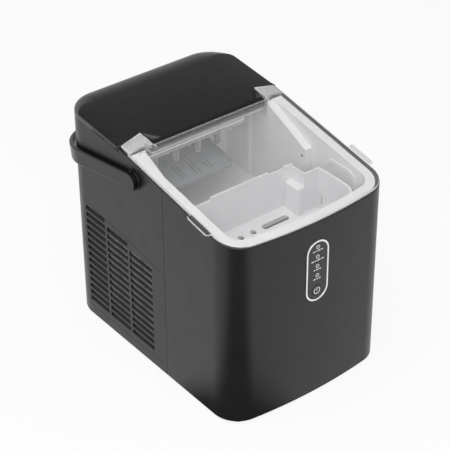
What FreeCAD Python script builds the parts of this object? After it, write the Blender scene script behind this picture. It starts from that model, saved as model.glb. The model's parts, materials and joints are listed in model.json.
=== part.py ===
"""Countertop bullet ice maker, built as separate pieces.

Frame: millimetres, +Z up, -Y is the front with the control panel, +X is the right-hand side as
seen from the front. Pieces are drawn about the middle of the casing, and each is then moved forward
by ORIGIN_Y, so that the origin lies on the floor under the middle of the casing and folded handle.
"""
import FreeCAD, Part
import math
import os

V = FreeCAD.Vector
X_AXIS = V(1, 0, 0)
Y_AXIS = V(0, 1, 0)
Z_AXIS = V(0, 0, 1)
TINY = 1e-6
CUT_PAST = 5.0

# ---- driving dimensions of the casing ----
ORIGIN_Y = 8.2
FOOT_H = 4.0
WIDTH = 225.0
DEPTH = 321.0
HALF_W = WIDTH / 2
HALF_D = DEPTH / 2
BASE_Z = FOOT_H
FRONT_RIM_Z = BASE_Z + 234.0
RIM_SLOPE = math.tan(math.radians(9.9))
RIM_ROUND = 1.0
FRONT_BOW = 9.75
FRONT_CORNER_R = 33.0
REAR_CORNER_R = 38.0
WALL = 2.6
OVERLAP = 0.5
HAIR = 0.01
TOUCH_GAP = 0.02
ROUND_SLACK = 0.1
HOLE_ROOM = 0.1
SIDE_CUT_DEPTH = 12.0
BACK_CUT_DEPTH = 6.0
SEAM_Y = -33.2
SEAM_GAP = 0.5
TOP_Z = BASE_Z + 300.0
SHELF_UNDER_RIM = (-5.4, -3.8)
SHELF_INSET = 10.0
SHELF_ROOT = 0.4
BASE_T = 3.0
FLOOR_TOP_Z = BASE_Z + BASE_T
BASE_CLEAR = 0.3
VENT_X = (-96.0, -60.0)
VENT_Y0 = -10.0
VENT_PITCH = 14.0
VENT_W = 6.0
VENT_COUNT = 8

# ---- top cap ----
CAP_FRONT_Y = 32.2
CAP_FRONT_TOP_Z = BASE_Z + 270.8
CAP_REAR_TOP_Z = BASE_Z + 282.4
CAP_SKIRT = 7.0
CAP_SEAM = 0.3
CAP_WALL = 2.4
CAP_EDGE_FILLET = 5.0
CAP_LIP_DEPTH = 12.0
CAP_STEP_BACK = 1.3
TONGUE_X = {-1: -77.5, 1: 86.5}

# ---- lid and its hinge ----
LID_T = 2.6
LID_INSET = 0.6
LID_LIFT = 0.3
LID_SKIRT_INSET = 3.6
LID_SKIRT_W = 2.2
LID_SKIRT_DEPTH = 1.0
LID_SKIRT_REAR_Y = 26.0
LID_REAR_Y = 30.6
EAR_GAP = 0.9
EAR_REAR_GAP = 1.8
EAR_TAIL_INSET = 3.3
EAR_OUTER_REAR_Y = 45.5
EAR_INNER_REAR_Y = 54.5
EAR_OVERLAP = 3.0
LID_HINGE_Y = 36.2
HINGE_DROP = 4.2
HINGE_PIN_R = 2.2
HINGE_BORE_R = 2.26
HINGE_LUG_W = 5.0
HINGE_LUG_GAP = 0.1
HINGE_LUG_TOP = 1.8
HINGE_BORE_DEPTH = 9.0
HINGE_SOCKET_DEPTH = 6.0
LIFT_TAB_Y = (-119.0, -83.0)
LIFT_TAB_OUT = 5.6
LIFT_TAB_ROOT = 4.0
LIFT_TAB_R = 4.4
LID_ROLL_R = 3.2
LID_ROLL_PROUD = 0.8

# ---- liner ----
LINER_WALL = 2.0
RIM_OUTER_INSET = 5.0
RIM_INNER_INSET = 16.0
RIM_DROP = 1.3
RIM_T = 2.0
FRONT_HALF_W = HALF_W - RIM_INNER_INSET
REAR_HALF_W = 87.0
FIN_Y = -38.0
FIN_LOW_Z = BASE_Z + 231.55
FIN_HIGH_Y = 31.0
FIN_HIGH_Z = BASE_Z + 263.0
LINER_REAR_Y = 108.0
TANK_FLOOR_Z = BASE_Z + 88.0
REAR_FLOOR_Z = BASE_Z + 150.0
REAR_DECK_Z = BASE_Z + 254.0
DECK_W = 8.0
DECK_FRONT_Y = FIN_HIGH_Y + 12.0
EAR_WELL_Z = BASE_Z + 244.0
EAR_WELL_Y = (FIN_HIGH_Y + 0.2, 60.0)
EAR_WELL_MARGIN = 1.5
EAR_WELL_WALL = 1.5
EAR_WELL_INNER_X = REAR_HALF_W + LINER_WALL
EAR_WELL_OUTER_X = 109.0
EAR_WELL_H = 15.0
POCKET_Y = (-109.5, -66.5)
POCKET_Z = (BASE_Z + 206.0, BASE_Z + 229.0)
POCKET_DEPTH = 3.2
POCKET_R = 9.0
POCKET_PAD = 0.8
POCKET_PAD_MARGIN = 4.8
LEDGE_DROP = 0.3
LEDGE_X = 83.0
LEDGE_T = 3.0
LEDGE_LENGTH = 14.0
LEDGE_YS = (-78.0, -116.0)
WALL_RIB_YS = (61.0, 65.0)
WALL_RIB_W = 1.6
WALL_RIB_H = 1.2

# ---- ice-full sensors ----
SENSOR_Y = -32.0
SENSOR_Z = BASE_Z + 222.0
SENSOR_EYE_R = 1.7
SENSOR_BASE_R = 3.2
SENSOR_X = (87.4, 89.2, 96.0)

# ---- ice basket ----
BASKET_HALF_W = 86.0
BASKET_Y = (-131.0, -38.8)
BASKET_LOW_Z = BASE_Z + 140.0
BASKET_RIM_Z = BASE_Z + 222.0
BASKET_FLOOR_REAR_Z = BASE_Z + 171.5
BASKET_FLOOR_FRONT_Z = BASE_Z + 163.0
BASKET_WALL = 2.0
BASKET_CORNER_R = 22.0
BASKET_PAST = 20.0
NOTCH_X = 65.5
NOTCH_Y = -62.0
PILLAR_X = 53.5
PILLAR_Y = -65.5
PILLAR_TOP_Z = BASE_Z + 205.0
PILLAR_R = 4.0
PILLAR_TOP_R = 1.5
BASKET_FLANGE = 1.6
WALL_SLIT = (-72.9, -71.1, BASE_Z + 176.0, BASE_Z + 188.5)
WALL_DOT = (-87.0, BASE_Z + 187.0, 0.9)
BASKET_FLANGE_T = 2.0
REAR_RIB_T = 2.6
REAR_RIBS = ((-52.0, 30.0, 3.6), (53.0, 65.0, 2.4))
DRAIN_ROW_YS = (-59.0, -84.0, -109.0)
DRAIN_SLOT_X = (6.8, 45.0)
DRAIN_SLOT_HALF_W = 4.3
DRAIN_HOLE_XS = (-6.0, -24.0, -42.0)
DRAIN_HOLE_R = 3.7
DRAIN_CUT_Z = (BASE_Z + 155.0, BASE_Z + 175.0)

# ---- evaporator and water tray ----
FINGER_R = 4.7
FINGER_PITCH = 30.5
FINGER_X0 = -69.0
FINGER_FRONT_Y = 42.0
FINGER_REAR_Y = 59.0
FRONT_FINGERS = 4
REAR_FINGERS = 5
FINGER_BOTTOM_Z = BASE_Z + 227.5
HEADER_Z = BASE_Z + 248.0
HEADER_R = 5.0
HEADER_PAST = (8.0, 10.0)
COVER_HALF_W = 86.0
COVER_Z = (REAR_DECK_Z + 0.2, REAR_DECK_Z + 2.6)
COVER_Y = (CAP_FRONT_Y + 3.4, LINER_REAR_Y + 6.0)
COVER_NOTCH_Y = 62.0
TRAY_X = (-76.0, 40.0)
TRAY_FRONT_Y = 32.0
TRAY_FRONT_Z = BASE_Z + 198.0
TRAY_REAR_Y = 94.0
TRAY_TILT = 12.0
TRAY_T = 2.0
TRAY_RIM_H = 2.2
TRAY_RIM_W = 2.0
TRAY_CORNER_R = 8.0
TRAY_RIBS = ((-25.8, 79.0), (-5.6, 76.0), (12.2, 56.0))
TRAY_RIB_HALF_GAP = 2.6
TRAY_RIB_HALF_W = 0.9
TRAY_RIB_H = 1.4
TRAY_AXIS_Y = 99.0
TRAY_AXIS_Z = BASE_Z + 216.0
TRAY_SHAFT_R = 3.0
SHAFT_ROOM = 0.06
TRAY_SHAFT_END_X = 91.4
TRAY_HUB_R = 7.0
TRAY_WEB_LOW = (14.0, 6.2)
TRAY_WEB_TOP = (20.0, 3.0)
TRAY_ARM_W = 4.0
TRAY_ARM_INSET = (2.0, 6.0)
TRAY_MOTOR_X = 91.5
TRAY_MOTOR_R = 22.0
TRAY_MOTOR_L = 14.0
TRAY_MOTOR_EAR = (5.0, 29.0, 2.0)
SHOVEL_LENGTH = 96.0
SHOVEL_T = 3.0
SHOVEL_H = 9.0
SHOVEL_SET_BACK = 12.0
SHOVEL_LIFT = 2.6

# ---- carrying handle ----
PIVOT_Y = 19.1
PIVOT_Z = BASE_Z + 242.7
HANDLE_TILT = 9.5
HANDLE_IN_X = 114.7
HANDLE_T = 4.6
HANDLE_BAND = 20.0
HANDLE_REACH = 154.9
HANDLE_CORNER_R = 52.0
HANDLE_ROUND = 1.6
HANDLE_EYE_R = HANDLE_BAND / 2 + 0.6
HANDLE_EYE_PROUD = 1.2
PIVOT_PIN_R = 5.0
PIVOT_BORE_R = 5.06
PIVOT_BLIND = 1.0
PIVOT_HEAD_R = 8.0
PIVOT_HEAD_T = 3.0
PIVOT_HEAD_GAP = 0.2
PIVOT_TIP_GAP = 0.6
BOSS_R = 12.0
BOSS_GAP = 0.5
BOSS_ROUND = 0.9

# ---- side grilles ----
GRILLE_REAR_Y = 125.0
GRILLE_LOW_Z = BASE_Z + 12.8
GRILLE_TOP_REAR_Z = BASE_Z + 163.6
GRILLE_TOP_FRONT_Z = BASE_Z + 143.1
SLOT_PITCH = 9.37
SLOT_H = 6.2
SLOT_LEAN = 4.0
SLOT_COUNT = 15
SLOT_TOP_Z = BASE_Z + 153.8
SLOT_COLUMNS = ((83.0, 121.5), (38.5, 79.0), (-8.5, 34.5))
PANEL_GAP = 0.4

# ---- rear vent ----
REAR_SLOT_COUNT = 9
REAR_SLOT_X0 = -40.0
REAR_SLOT_PITCH = 10.0
REAR_SLOT_Z = BASE_Z + 150.0
REAR_SLOT_HALF_W = 2.0
REAR_SLOT_HALF_H = 26.0

# ---- control panel ----
PILL_X = 1.0
PILL_Z = BASE_Z + 170.5
PILL_HALF_W = 15.8
PILL_HALF_H = 40.0
PILL_RING = 2.2
RING_PROUD = 0.9
GLASS_PROUD = 0.3
GLASS_GAP = 0.05
PANEL_BACK_Y = -HALF_D + 1.6
LED_Z = (BASE_Z + 202.0, BASE_Z + 189.3, BASE_Z + 176.9, BASE_Z + 164.5)
LED_R = 2.0
LED_PROUD = 0.45
LED_L = 3.0
BUTTON_Z = BASE_Z + 143.9
BUTTON_R = 6.4
BUTTON_GAP = 0.35
BUTTON_PROUD = 0.7
BUTTON_BACK = 2.6
BUTTON_STEM_R = 1.6
BUTTON_STEM_BACK = 3.6
DISPLAY_BOARD = (12.0, 38.0, 3.0)
DISPLAY_BOARD_Y = (-HALF_D + 5.4, -HALF_D + 7.0)
DISPLAY_BOARD_DROP = 2.0

# ---- drain and cord gland ----
DRAIN_X = 74.0
DRAIN_Y = -70.0
DRAIN_Z = BASE_Z + 22.0
DRAIN_TUBE_R = 7.0
DRAIN_BORE_R = 4.6
DRAIN_SPOUT_L = 8.0
DRAIN_BEND = 12.0
DRAIN_HOLE_IN_WALL_R = 9.4
DRAIN_COLLAR_R = 9.0
DRAIN_COLLAR_X = (8.0, 0.4)
DRAIN_END_INSET = 4.0
PLUG_R = 5.5
PLUG_SOCKET_R = 5.6
PLUG_DEPTH = 14.0
PLUG_HEAD_R = 11.0
PLUG_GRIP = (4.5, 2.0, 7.0)
PLUG_GRIP_X = 2.0
PLUG_HEAD_X = (0.1, 2.6)
PLUG_TIP_ROOM = 2.0
GLAND_X = 70.0
GLAND_Z = BASE_Z + 26.0
GLAND_R = 7.5
GLAND_HEAD_R = 10.0
GLAND_HEAD_T = 3.0
GLAND_DEPTH = 9.0
GLAND_BORE_R = 3.6

# ---- feet and screws ----
FOOT_X = 91.6
FOOT_YS = (-138.6, 132.0)
FOOT_LOW_R = 9.0
FOOT_TOP_R = 10.5
FOOT_STEM_R = 3.0
FOOT_STEM_TOP_Z = BASE_Z + 4.6
SCREW_X = 64.0
SCREW_ZS = (BASE_Z + 48.0, BASE_Z + 250.0)
SCREW_R = 1.6
SCREW_HOLE_R = 1.8
SCREW_HEAD_R = 3.6
SCREW_HEAD_H = 1.4
SCREW_L = 12.0

# ---- compressor ----
COMPRESSOR_X = 34.0
COMPRESSOR_Y = 62.0
COMPRESSOR_R = 47.0
COMPRESSOR_Z = (BASE_Z + 14.0, BASE_Z + 110.0)
COMPRESSOR_DOME_R = 20.0
COMPRESSOR_SEAM_Z = (BASE_Z + 60.0, BASE_Z + 64.0)
COMPRESSOR_SEAM_OUT = 1.5
FEET_PLATE_HALF = 44.0
FEET_ARM_HALF = 20.0
FEET_PLATE_Z = (BASE_Z + 12.0, BASE_Z + 15.0)
COMPRESSOR_FEET = ((-38.0, 0.0), (38.0, 0.0), (0.0, -38.0), (0.0, 38.0))
GROMMET_R = 6.0
DISCHARGE_PORT = (COMPRESSOR_X + 10.0, COMPRESSOR_Y + 26.0)
SUCTION_PORT = (COMPRESSOR_X - 24.0, COMPRESSOR_Y - 10.0)
PORT_R = 4.4
PORT_Z = (BASE_Z + 60.0, BASE_Z + 114.0)

# ---- condenser and fan ----
FAN_Y = 47.0
FAN_Z = BASE_Z + 72.0
FAN_R = 50.0
CONDENSER_X = (-102.0, -76.0)
CONDENSER_HALF_D = 52.0
CONDENSER_Z = (BASE_Z + 22.0, BASE_Z + 126.0)
FIN_COUNT = 17
FIN_PITCH = 6.0
FIN_SPACE = 3.6
FIN_PLATE_T = 2.0
FIN_FIRST = -49.0
BRACKET_HALF_D = 50.0
BRACKET_T = 2.0
BRACKET_LEG_X = (-92.0, -86.0)
BRACKET_LEG_T = 3.0
SHROUD_X = -74.0
SHROUD_T = 2.0
SHROUD_HALF_D = 55.0
SHROUD_TOP_Z = BASE_Z + 128.0
SHROUD_CORNER_R = 6.0
DUCT_GAP = 1.0
DUCT_WALL = 2.0
DUCT_L = 22.0
SPOKE_HALF_W = 3.0
FAN_MOTOR_R = 17.0
FAN_MOTOR_L = 16.0
FAN_SHAFT_R = 2.5
FAN_SHAFT_HOLE_R = 2.6
FAN_HUB_R = 13.0
FAN_HUB_X = (SHROUD_X + 4.0, SHROUD_X + 16.0)
BLADE_COUNT = 7
BLADE_SIZE = (12.0, 1.6, FAN_R - 12.5)
BLADE_ROOT = 11.0
BLADE_PITCH = 38.0

# ---- main board ----
BOARD_X = (-56.0, 24.0)
BOARD_Y = 151.0
BOARD_T = 1.6
BOARD_Z = (BASE_Z + 182.0, BASE_Z + 242.0)
TRANSFORMER = (-48.0, -26.0, BASE_Z + 200.0, BASE_Z + 226.0, 18.0)
RELAY = (-16.0, 0.0, BASE_Z + 190.0, BASE_Z + 204.0, 14.0)
CAPACITOR = (8.0, BASE_Z + 224.0, 6.0, 20.0)
STANDOFF_R = 3.0
STANDOFF_INSET = 4.0

# ---- water pump and hoses ----
PUMP_X = 60.0
PUMP_Y = -14.0
PUMP_R = 16.0
PUMP_Z = (BASE_Z + 5.0, BASE_Z + 40.0)
PUMP_OUTLET_TOP_Z = BASE_Z + 46.0
PUMP_INLET_Z = BASE_Z + 30.0
PUMP_INLET_Y = -36.0
PUMP_PAD_HALF = 18.0
HOSE_R = 4.0
HOSE_BEND = 12.0
HOSE_SIDE_X = 98.0
HOSE_LOW_Z = BASE_Z + 128.0
HOSE_HIGH_Z = BASE_Z + 196.0
HOSE_END = (70.0, BASE_Z + 240.0)
INLET_TURN_Y = -60.0
INLET_RISE_Y = -100.0
INLET_RISE_Z = BASE_Z + 50.0

# ---- refrigeration lines ----
DRIER_X = -40.0
DRIER_Y = 128.0
DRIER_R = 8.0
DRIER_Z = (BASE_Z + 30.0, BASE_Z + 108.0)
DRIER_END_R = 5.0
VALVE_X = (70.0, 92.0)
VALVE_Y = (122.0, 142.0)
VALVE_Z = (BASE_Z + 100.0, BASE_Z + 126.0)
VALVE_TUBE_R = 5.0
VALVE_TUBE_LOW_Z = BASE_Z + 84.0
DISCHARGE_LINE = (3.0, 9.0, BASE_Z + 134.0, 124.0)
SUCTION_LINE = (2.5, 5.0, BASE_Z + 138.0, -89.0, BASE_Z + 126.5)
CAPILLARY_LINE = (2.0, 8.0, BASE_Z + 172.0, -60.0)
LINE_TOP_Z = BASE_Z + 240.0

# ---- foam insulation ----
FOAM_T = 8.0
FOAM_GAP = 0.3
FOAM_LOW_Z = TANK_FLOOR_Z - 14.0
FOAM_TOP_Z = BASE_Z + 196.0
FOAM_WINDOW = (16.0, 46.0, 8.5)
FOAM_DRAIN_R = 8.0
FOAM_HOSE_R = 5.0

NODES = {}


def keep(name, shape):
    """Files a finished piece under its node name, in the object's own frame."""
    placed = shape.copy()
    placed.translate(V(0, -ORIGIN_Y, 0))
    NODES[name] = placed


# ---- shared shapes ----
def box(x0, x1, y0, y1, z0, z1):
    return Part.makeBox(x1 - x0, y1 - y0, z1 - z0, V(x0, y0, z0))


def rod(radius, start, end):
    """A round bar from start to end."""
    run = end - start
    return Part.makeCylinder(radius, run.Length, start, run)


def ring(outer_r, inner_r, start, end):
    return rod(outer_r, start, end).cut(rod(inner_r, start, end))


def fuse(shapes):
    """One solid out of overlapping ones."""
    return shapes[0].fuse(shapes[1:]).removeSplitter()


def span(sign, near, far):
    """Low and high x of a stretch on the side that sign names."""
    return sorted((sign * near, sign * far))


def rounded(block, direction, radius):
    """A box with its edges along one direction rounded."""
    along = []
    for edge in block.Edges:
        run = edge.Vertexes[-1].Point - edge.Vertexes[0].Point
        if run.cross(direction).Length < TINY:
            along.append(edge)
    return block.makeFillet(radius, along)


def front_pill(cx, cz, half_w, half_h, radius, y0, y1):
    """A rounded rectangle facing -Y, from depth y0 to y1."""
    return rounded(box(cx - half_w, cx + half_w, y0, y1, cz - half_h, cz + half_h), Y_AXIS, radius)


def side_slab(x0, x1, y0, y1, z0, z1, radius):
    """A rounded rectangle facing X."""
    return rounded(box(x0, x1, y0, y1, z0, z1), X_AXIS, radius)


def upright_slab(x0, x1, y0, y1, z0, z1, radius):
    """A rounded rectangle facing Z."""
    return rounded(box(x0, x1, y0, y1, z0, z1), Z_AXIS, radius)


def level_rims(shape):
    """Edges of a shape that lie in level planes."""
    return [edge for edge in shape.Edges if edge.BoundBox.ZLength < TINY]


def bent_tube(points, radius, bend):
    """A round tube along straight runs joined by tangent arcs of one bend radius."""
    edges = []
    last = points[0]
    for here, ahead in zip(points[1:-1], points[2:]):
        into = (here - last).normalize()
        out = (ahead - here).normalize()
        half_turn = into.getAngle(out) / 2
        back_off = bend * math.tan(half_turn)
        start = here - into * back_off
        end = here + out * back_off
        inward = (out - into).normalize()
        middle = here + inward * (bend / math.cos(half_turn) - bend)
        edges.append(Part.LineSegment(last, start).toShape())
        edges.append(Part.Arc(start, middle, end).toShape())
        last = end
    edges.append(Part.LineSegment(last, points[-1]).toShape())
    path = Part.Wire(edges)
    section = Part.Wire(Part.makeCircle(radius, points[0], points[1] - points[0]))
    return path.makePipeShell([section], True, False)


# ---- the casing's outline ----
def rim_z(y):
    """Height of the sloping top edge of the casing at depth y."""
    return FRONT_RIM_Z + RIM_SLOPE * (y + HALF_D)


def cap_z(y):
    """Height of the top cap's upper face at depth y."""
    run = (y - CAP_FRONT_Y) / (HALF_D - CAP_FRONT_Y)
    return CAP_FRONT_TOP_Z + (CAP_REAR_TOP_Z - CAP_FRONT_TOP_Z) * run


def plan_face(inset, z):
    """The casing's plan outline, moved inwards: straight sides and back, a bowed front."""
    bow_r = (HALF_W ** 2 + FRONT_BOW ** 2) / (2 * FRONT_BOW)
    bow_centre_y = -HALF_D + bow_r
    corner_x = HALF_W - FRONT_CORNER_R
    corner_y = bow_centre_y - math.sqrt((bow_r - FRONT_CORNER_R) ** 2 - corner_x ** 2)
    lean = math.atan2(corner_x, bow_centre_y - corner_y)
    front_r = FRONT_CORNER_R - inset
    rear_r = REAR_CORNER_R - inset
    side = HALF_W - inset
    back = HALF_D - inset
    rear_x = HALF_W - REAR_CORNER_R
    rear_y = HALF_D - REAR_CORNER_R

    def front_corner(sign, angle):
        return V(sign * (corner_x + front_r * math.sin(angle)), corner_y - front_r * math.cos(angle), z)

    def rear_corner(sign, angle):
        return V(sign * (rear_x + rear_r * math.cos(angle)), rear_y + rear_r * math.sin(angle), z)

    mid_front = (lean + math.pi / 2) / 2
    edges = [
        Part.Arc(front_corner(-1, lean), V(0, -HALF_D + inset, z), front_corner(1, lean)).toShape(),
        Part.Arc(front_corner(1, lean), front_corner(1, mid_front), V(side, corner_y, z)).toShape(),
        Part.LineSegment(V(side, corner_y, z), V(side, rear_y, z)).toShape(),
        Part.Arc(V(side, rear_y, z), rear_corner(1, math.pi / 4), V(rear_x, back, z)).toShape(),
        Part.LineSegment(V(rear_x, back, z), V(-rear_x, back, z)).toShape(),
        Part.Arc(V(-rear_x, back, z), rear_corner(-1, math.pi / 4), V(-side, rear_y, z)).toShape(),
        Part.LineSegment(V(-side, rear_y, z), V(-side, corner_y, z)).toShape(),
        Part.Arc(V(-side, corner_y, z), front_corner(-1, mid_front), front_corner(-1, lean)).toShape(),
    ]
    return Part.Face(Part.Wire(edges))


def plan_prism(inset, z0, z1):
    return plan_face(inset, z0).extrude(V(0, 0, z1 - z0))


def plan_shell(outer_inset, inner_inset):
    """A full-height upright wall between two insets of the plan outline."""
    inner = plan_prism(inner_inset, BASE_Z - CUT_PAST, TOP_Z + CUT_PAST)
    return plan_prism(outer_inset, BASE_Z, TOP_Z).cut(inner)


def side_prism(points, x0, x1):
    """A prism along X whose section is given by (y, z) points."""
    corners = [V(x0, y, z) for y, z in points]
    return Part.Face(Part.makePolygon(corners + corners[:1])).extrude(V(x1 - x0, 0, 0))


def plan_block(points):
    """A full-height prism whose section is given by (x, y) points."""
    corners = [V(x, y, BASE_Z) for x, y in points]
    return Part.Face(Part.makePolygon(corners + corners[:1])).extrude(V(0, 0, TOP_Z - BASE_Z))


def below_rim(offset, y0, y1):
    """Everything below the sloping rim plane moved up by offset, between two depths."""
    section = [(y0, -CUT_PAST), (y1, -CUT_PAST), (y1, rim_z(y1) + offset), (y0, rim_z(y0) + offset)]
    return side_prism(section, -WIDTH, WIDTH)


def rim_layer(low, high, y0, y1):
    """The layer between two offsets from the sloping rim plane."""
    section = [
        (y0, rim_z(y0) + low),
        (y1, rim_z(y1) + low),
        (y1, rim_z(y1) + high),
        (y0, rim_z(y0) + high),
    ]
    return side_prism(section, -WIDTH, WIDTH)


def edges_on(shape, height):
    """Edges on the casing's outline that follow the height function."""
    near = 0.05
    sag = 0.3
    shortest = 3.0
    outline = plan_face(0, BASE_Z).OuterWire
    found = []
    for edge in shape.Edges:
        middle = edge.valueAt((edge.FirstParameter + edge.LastParameter) / 2)
        ends_fit = all(abs(v.Z - height(v.Y)) < near for v in edge.Vertexes)
        middle_fits = abs(middle.z - height(middle.y)) < sag
        off_outline = Part.Vertex(V(middle.x, middle.y, BASE_Z)).distToShape(outline)[0]
        if ends_fit and middle_fits and off_outline < near and edge.Length > shortest:
            found.append(edge)
    return found


def ear_outline(sign, side_gap, rear_gap):
    """Plan polygon of a lid ear, grown by the gaps for the notch that it sits in."""
    inner_x = TONGUE_X[sign] - sign * side_gap
    outer_x = sign * WIDTH
    slant = (EAR_INNER_REAR_Y - EAR_OUTER_REAR_Y) / (HALF_W - abs(inner_x))
    outer_y = EAR_OUTER_REAR_Y - (WIDTH - HALF_W) * slant
    front_y = LID_REAR_Y - EAR_OVERLAP
    return [
        (inner_x, front_y),
        (outer_x, front_y),
        (outer_x, outer_y + rear_gap),
        (inner_x, EAR_INNER_REAR_Y + rear_gap),
    ]


def hinge_point(x):
    """A point on the lid's hinge axis."""
    return V(x, LID_HINGE_Y, rim_z(LID_HINGE_Y) + LID_LIFT + LID_T - HINGE_DROP)


def grille_outline(grow):
    front = SEAM_Y + SEAM_GAP / 2 - HAIR
    return [
        (front, GRILLE_LOW_Z - grow),
        (GRILLE_REAR_Y + grow, GRILLE_LOW_Z - grow),
        (GRILLE_REAR_Y + grow, GRILLE_TOP_REAR_Z + grow),
        (front, GRILLE_TOP_FRONT_Z + grow),
    ]


def through_side(sign, radius, y, z):
    """A round cutter through one side wall."""
    return rod(radius, V(sign * (HALF_W - SIDE_CUT_DEPTH), y, z), V(sign * (HALF_W + CUT_PAST), y, z))


def through_back(radius, x, z):
    """A round cutter through the back wall."""
    return rod(radius, V(x, HALF_D - BACK_CUT_DEPTH, z), V(x, HALF_D + CUT_PAST, z))


# ---- casing ----
def make_front_housing():
    back = SEAM_Y - SEAM_GAP / 2
    part = plan_shell(0, WALL).common(below_rim(0, -HALF_D - CUT_PAST, back))
    part = part.makeFillet(RIM_ROUND, edges_on(part, rim_z))
    shelf = plan_shell(WALL - SHELF_ROOT, SHELF_INSET)
    shelf = shelf.common(rim_layer(SHELF_UNDER_RIM[0], SHELF_UNDER_RIM[1], -HALF_D, back))
    half_w = PILL_HALF_W + HOLE_ROOM
    window = front_pill(PILL_X, PILL_Z, half_w, PILL_HALF_H + HOLE_ROOM, half_w - HAIR,
                        -HALF_D - 10, -HALF_D + 8)
    drain = through_side(1, DRAIN_HOLE_IN_WALL_R, DRAIN_Y, DRAIN_Z)
    keep("front_housing", fuse([part, shelf]).cut(window).cut(drain))


def make_rear_housing():
    front_edge = SEAM_Y + SEAM_GAP / 2
    back = HALF_D + CUT_PAST
    step_y = EAR_OUTER_REAR_Y + CAP_STEP_BACK
    under_cap = CAP_SKIRT + CAP_SEAM
    section = [
        (front_edge, BASE_Z - 1),
        (back, BASE_Z - 1),
        (back, cap_z(back) - under_cap),
        (step_y, cap_z(step_y) - under_cap),
        (step_y, rim_z(step_y)),
        (front_edge, rim_z(front_edge)),
    ]
    part = plan_shell(0, WALL).common(side_prism(section, -WIDTH, WIDTH))
    part = part.makeFillet(RIM_ROUND, edges_on(part, rim_z))
    for sign in (-1, 1):
        x0, x1 = span(sign, HALF_W - 10, HALF_W + CUT_PAST)
        part = part.cut(side_prism(grille_outline(PANEL_GAP), x0, x1))
        part = part.cut(through_side(sign, PIVOT_PIN_R + HOLE_ROOM, PIVOT_Y, PIVOT_Z))
    for column in range(REAR_SLOT_COUNT):
        x = REAR_SLOT_X0 + column * REAR_SLOT_PITCH
        slot = front_pill(x, REAR_SLOT_Z, REAR_SLOT_HALF_W, REAR_SLOT_HALF_H, REAR_SLOT_HALF_W - ROUND_SLACK,
                          HALF_D - BACK_CUT_DEPTH, back)
        part = part.cut(slot)
    for x in (-SCREW_X, SCREW_X):
        for z in SCREW_ZS:
            part = part.cut(through_back(SCREW_HOLE_R, x, z))
    keep("rear_housing", part.cut(through_back(GLAND_R + HOLE_ROOM, GLAND_X, GLAND_Z)))


def make_grille(sign, name):
    """A side panel whose slots climb inwards, so that nothing drips in."""
    x0, x1 = span(sign, HALF_W - WALL, HALF_W)
    panel = side_prism(grille_outline(0), x0, x1)
    outer = sign * (HALF_W + 1.0)
    inner = sign * (HALF_W - WALL - 1.0)
    for row in range(SLOT_COUNT):
        low = SLOT_TOP_Z - row * SLOT_PITCH - SLOT_H / 2
        for y0, y1 in SLOT_COLUMNS[:row + 1]:
            corners = [
                V(outer, y0, low),
                V(inner, y0, low + SLOT_LEAN),
                V(inner, y0, low + SLOT_LEAN + SLOT_H),
                V(outer, y0, low + SLOT_H),
            ]
            slot = Part.Face(Part.makePolygon(corners + corners[:1])).extrude(V(0, y1 - y0, 0))
            panel = panel.cut(slot)
    keep(name, panel)


def make_base():
    plate = plan_prism(WALL + BASE_CLEAR, BASE_Z, FLOOR_TOP_Z)
    low, high = BASE_Z - CUT_PAST, BASE_Z + CUT_PAST
    for sign in (-1, 1):
        for y in FOOT_YS:
            x = sign * FOOT_X
            plate = plate.cut(rod(FOOT_STEM_R + HOLE_ROOM, V(x, y, low), V(x, y, high)))
    for index in range(VENT_COUNT):
        y = VENT_Y0 + index * VENT_PITCH
        vent = upright_slab(VENT_X[0], VENT_X[1], y, y + VENT_W, low, high, VENT_W / 2 - ROUND_SLACK)
        plate = plate.cut(vent)
    keep("base_plate", plate)


def make_feet():
    feet = []
    for sign in (-1, 1):
        for y in FOOT_YS:
            pad = Part.makeCone(FOOT_LOW_R, FOOT_TOP_R, FOOT_H, V(sign * FOOT_X, y, 0))
            stem = rod(FOOT_STEM_R, V(sign * FOOT_X, y, FOOT_H / 2), V(sign * FOOT_X, y, FOOT_STEM_TOP_Z))
            feet.append(fuse([pad, stem]))
    keep("rubber_feet", Part.makeCompound(feet))


def make_top_cap():
    front = CAP_FRONT_Y
    inside = CAP_FRONT_Y + CAP_WALL
    back = HALF_D + CUT_PAST
    lip_z = cap_z(front) - CAP_LIP_DEPTH
    outer_section = [
        (front, lip_z),
        (inside, lip_z),
        (inside, cap_z(inside) - CAP_SKIRT),
        (back, cap_z(back) - CAP_SKIRT),
        (back, cap_z(back)),
        (front, cap_z(front)),
    ]
    block = plan_prism(0, BASE_Z, TOP_Z).common(side_prism(outer_section, -WIDTH, WIDTH))
    for sign in (-1, 1):
        block = block.cut(plan_block(ear_outline(sign, EAR_GAP, EAR_REAR_GAP)))
    block = block.makeFillet(CAP_EDGE_FILLET, edges_on(block, cap_z))
    inner_section = [
        (inside, lip_z - CUT_PAST),
        (back, lip_z - CUT_PAST),
        (back, cap_z(back) - CAP_WALL),
        (inside, cap_z(inside) - CAP_WALL),
    ]
    hollow = plan_prism(WALL + SHELF_ROOT, BASE_Z, TOP_Z).common(side_prism(inner_section, -WIDTH, WIDTH))
    for sign in (-1, 1):
        hollow = hollow.cut(plan_block(ear_outline(sign, EAR_GAP + CAP_WALL, EAR_REAR_GAP + CAP_WALL)))
    cap = block.cut(hollow)
    for sign in (-1, 1):
        socket_end = hinge_point(TONGUE_X[sign] - sign * HINGE_SOCKET_DEPTH)
        cap = cap.cut(rod(HINGE_PIN_R, socket_end, hinge_point(TONGUE_X[sign] + sign * 2.0)))
    keep("top_cap", cap)


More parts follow.
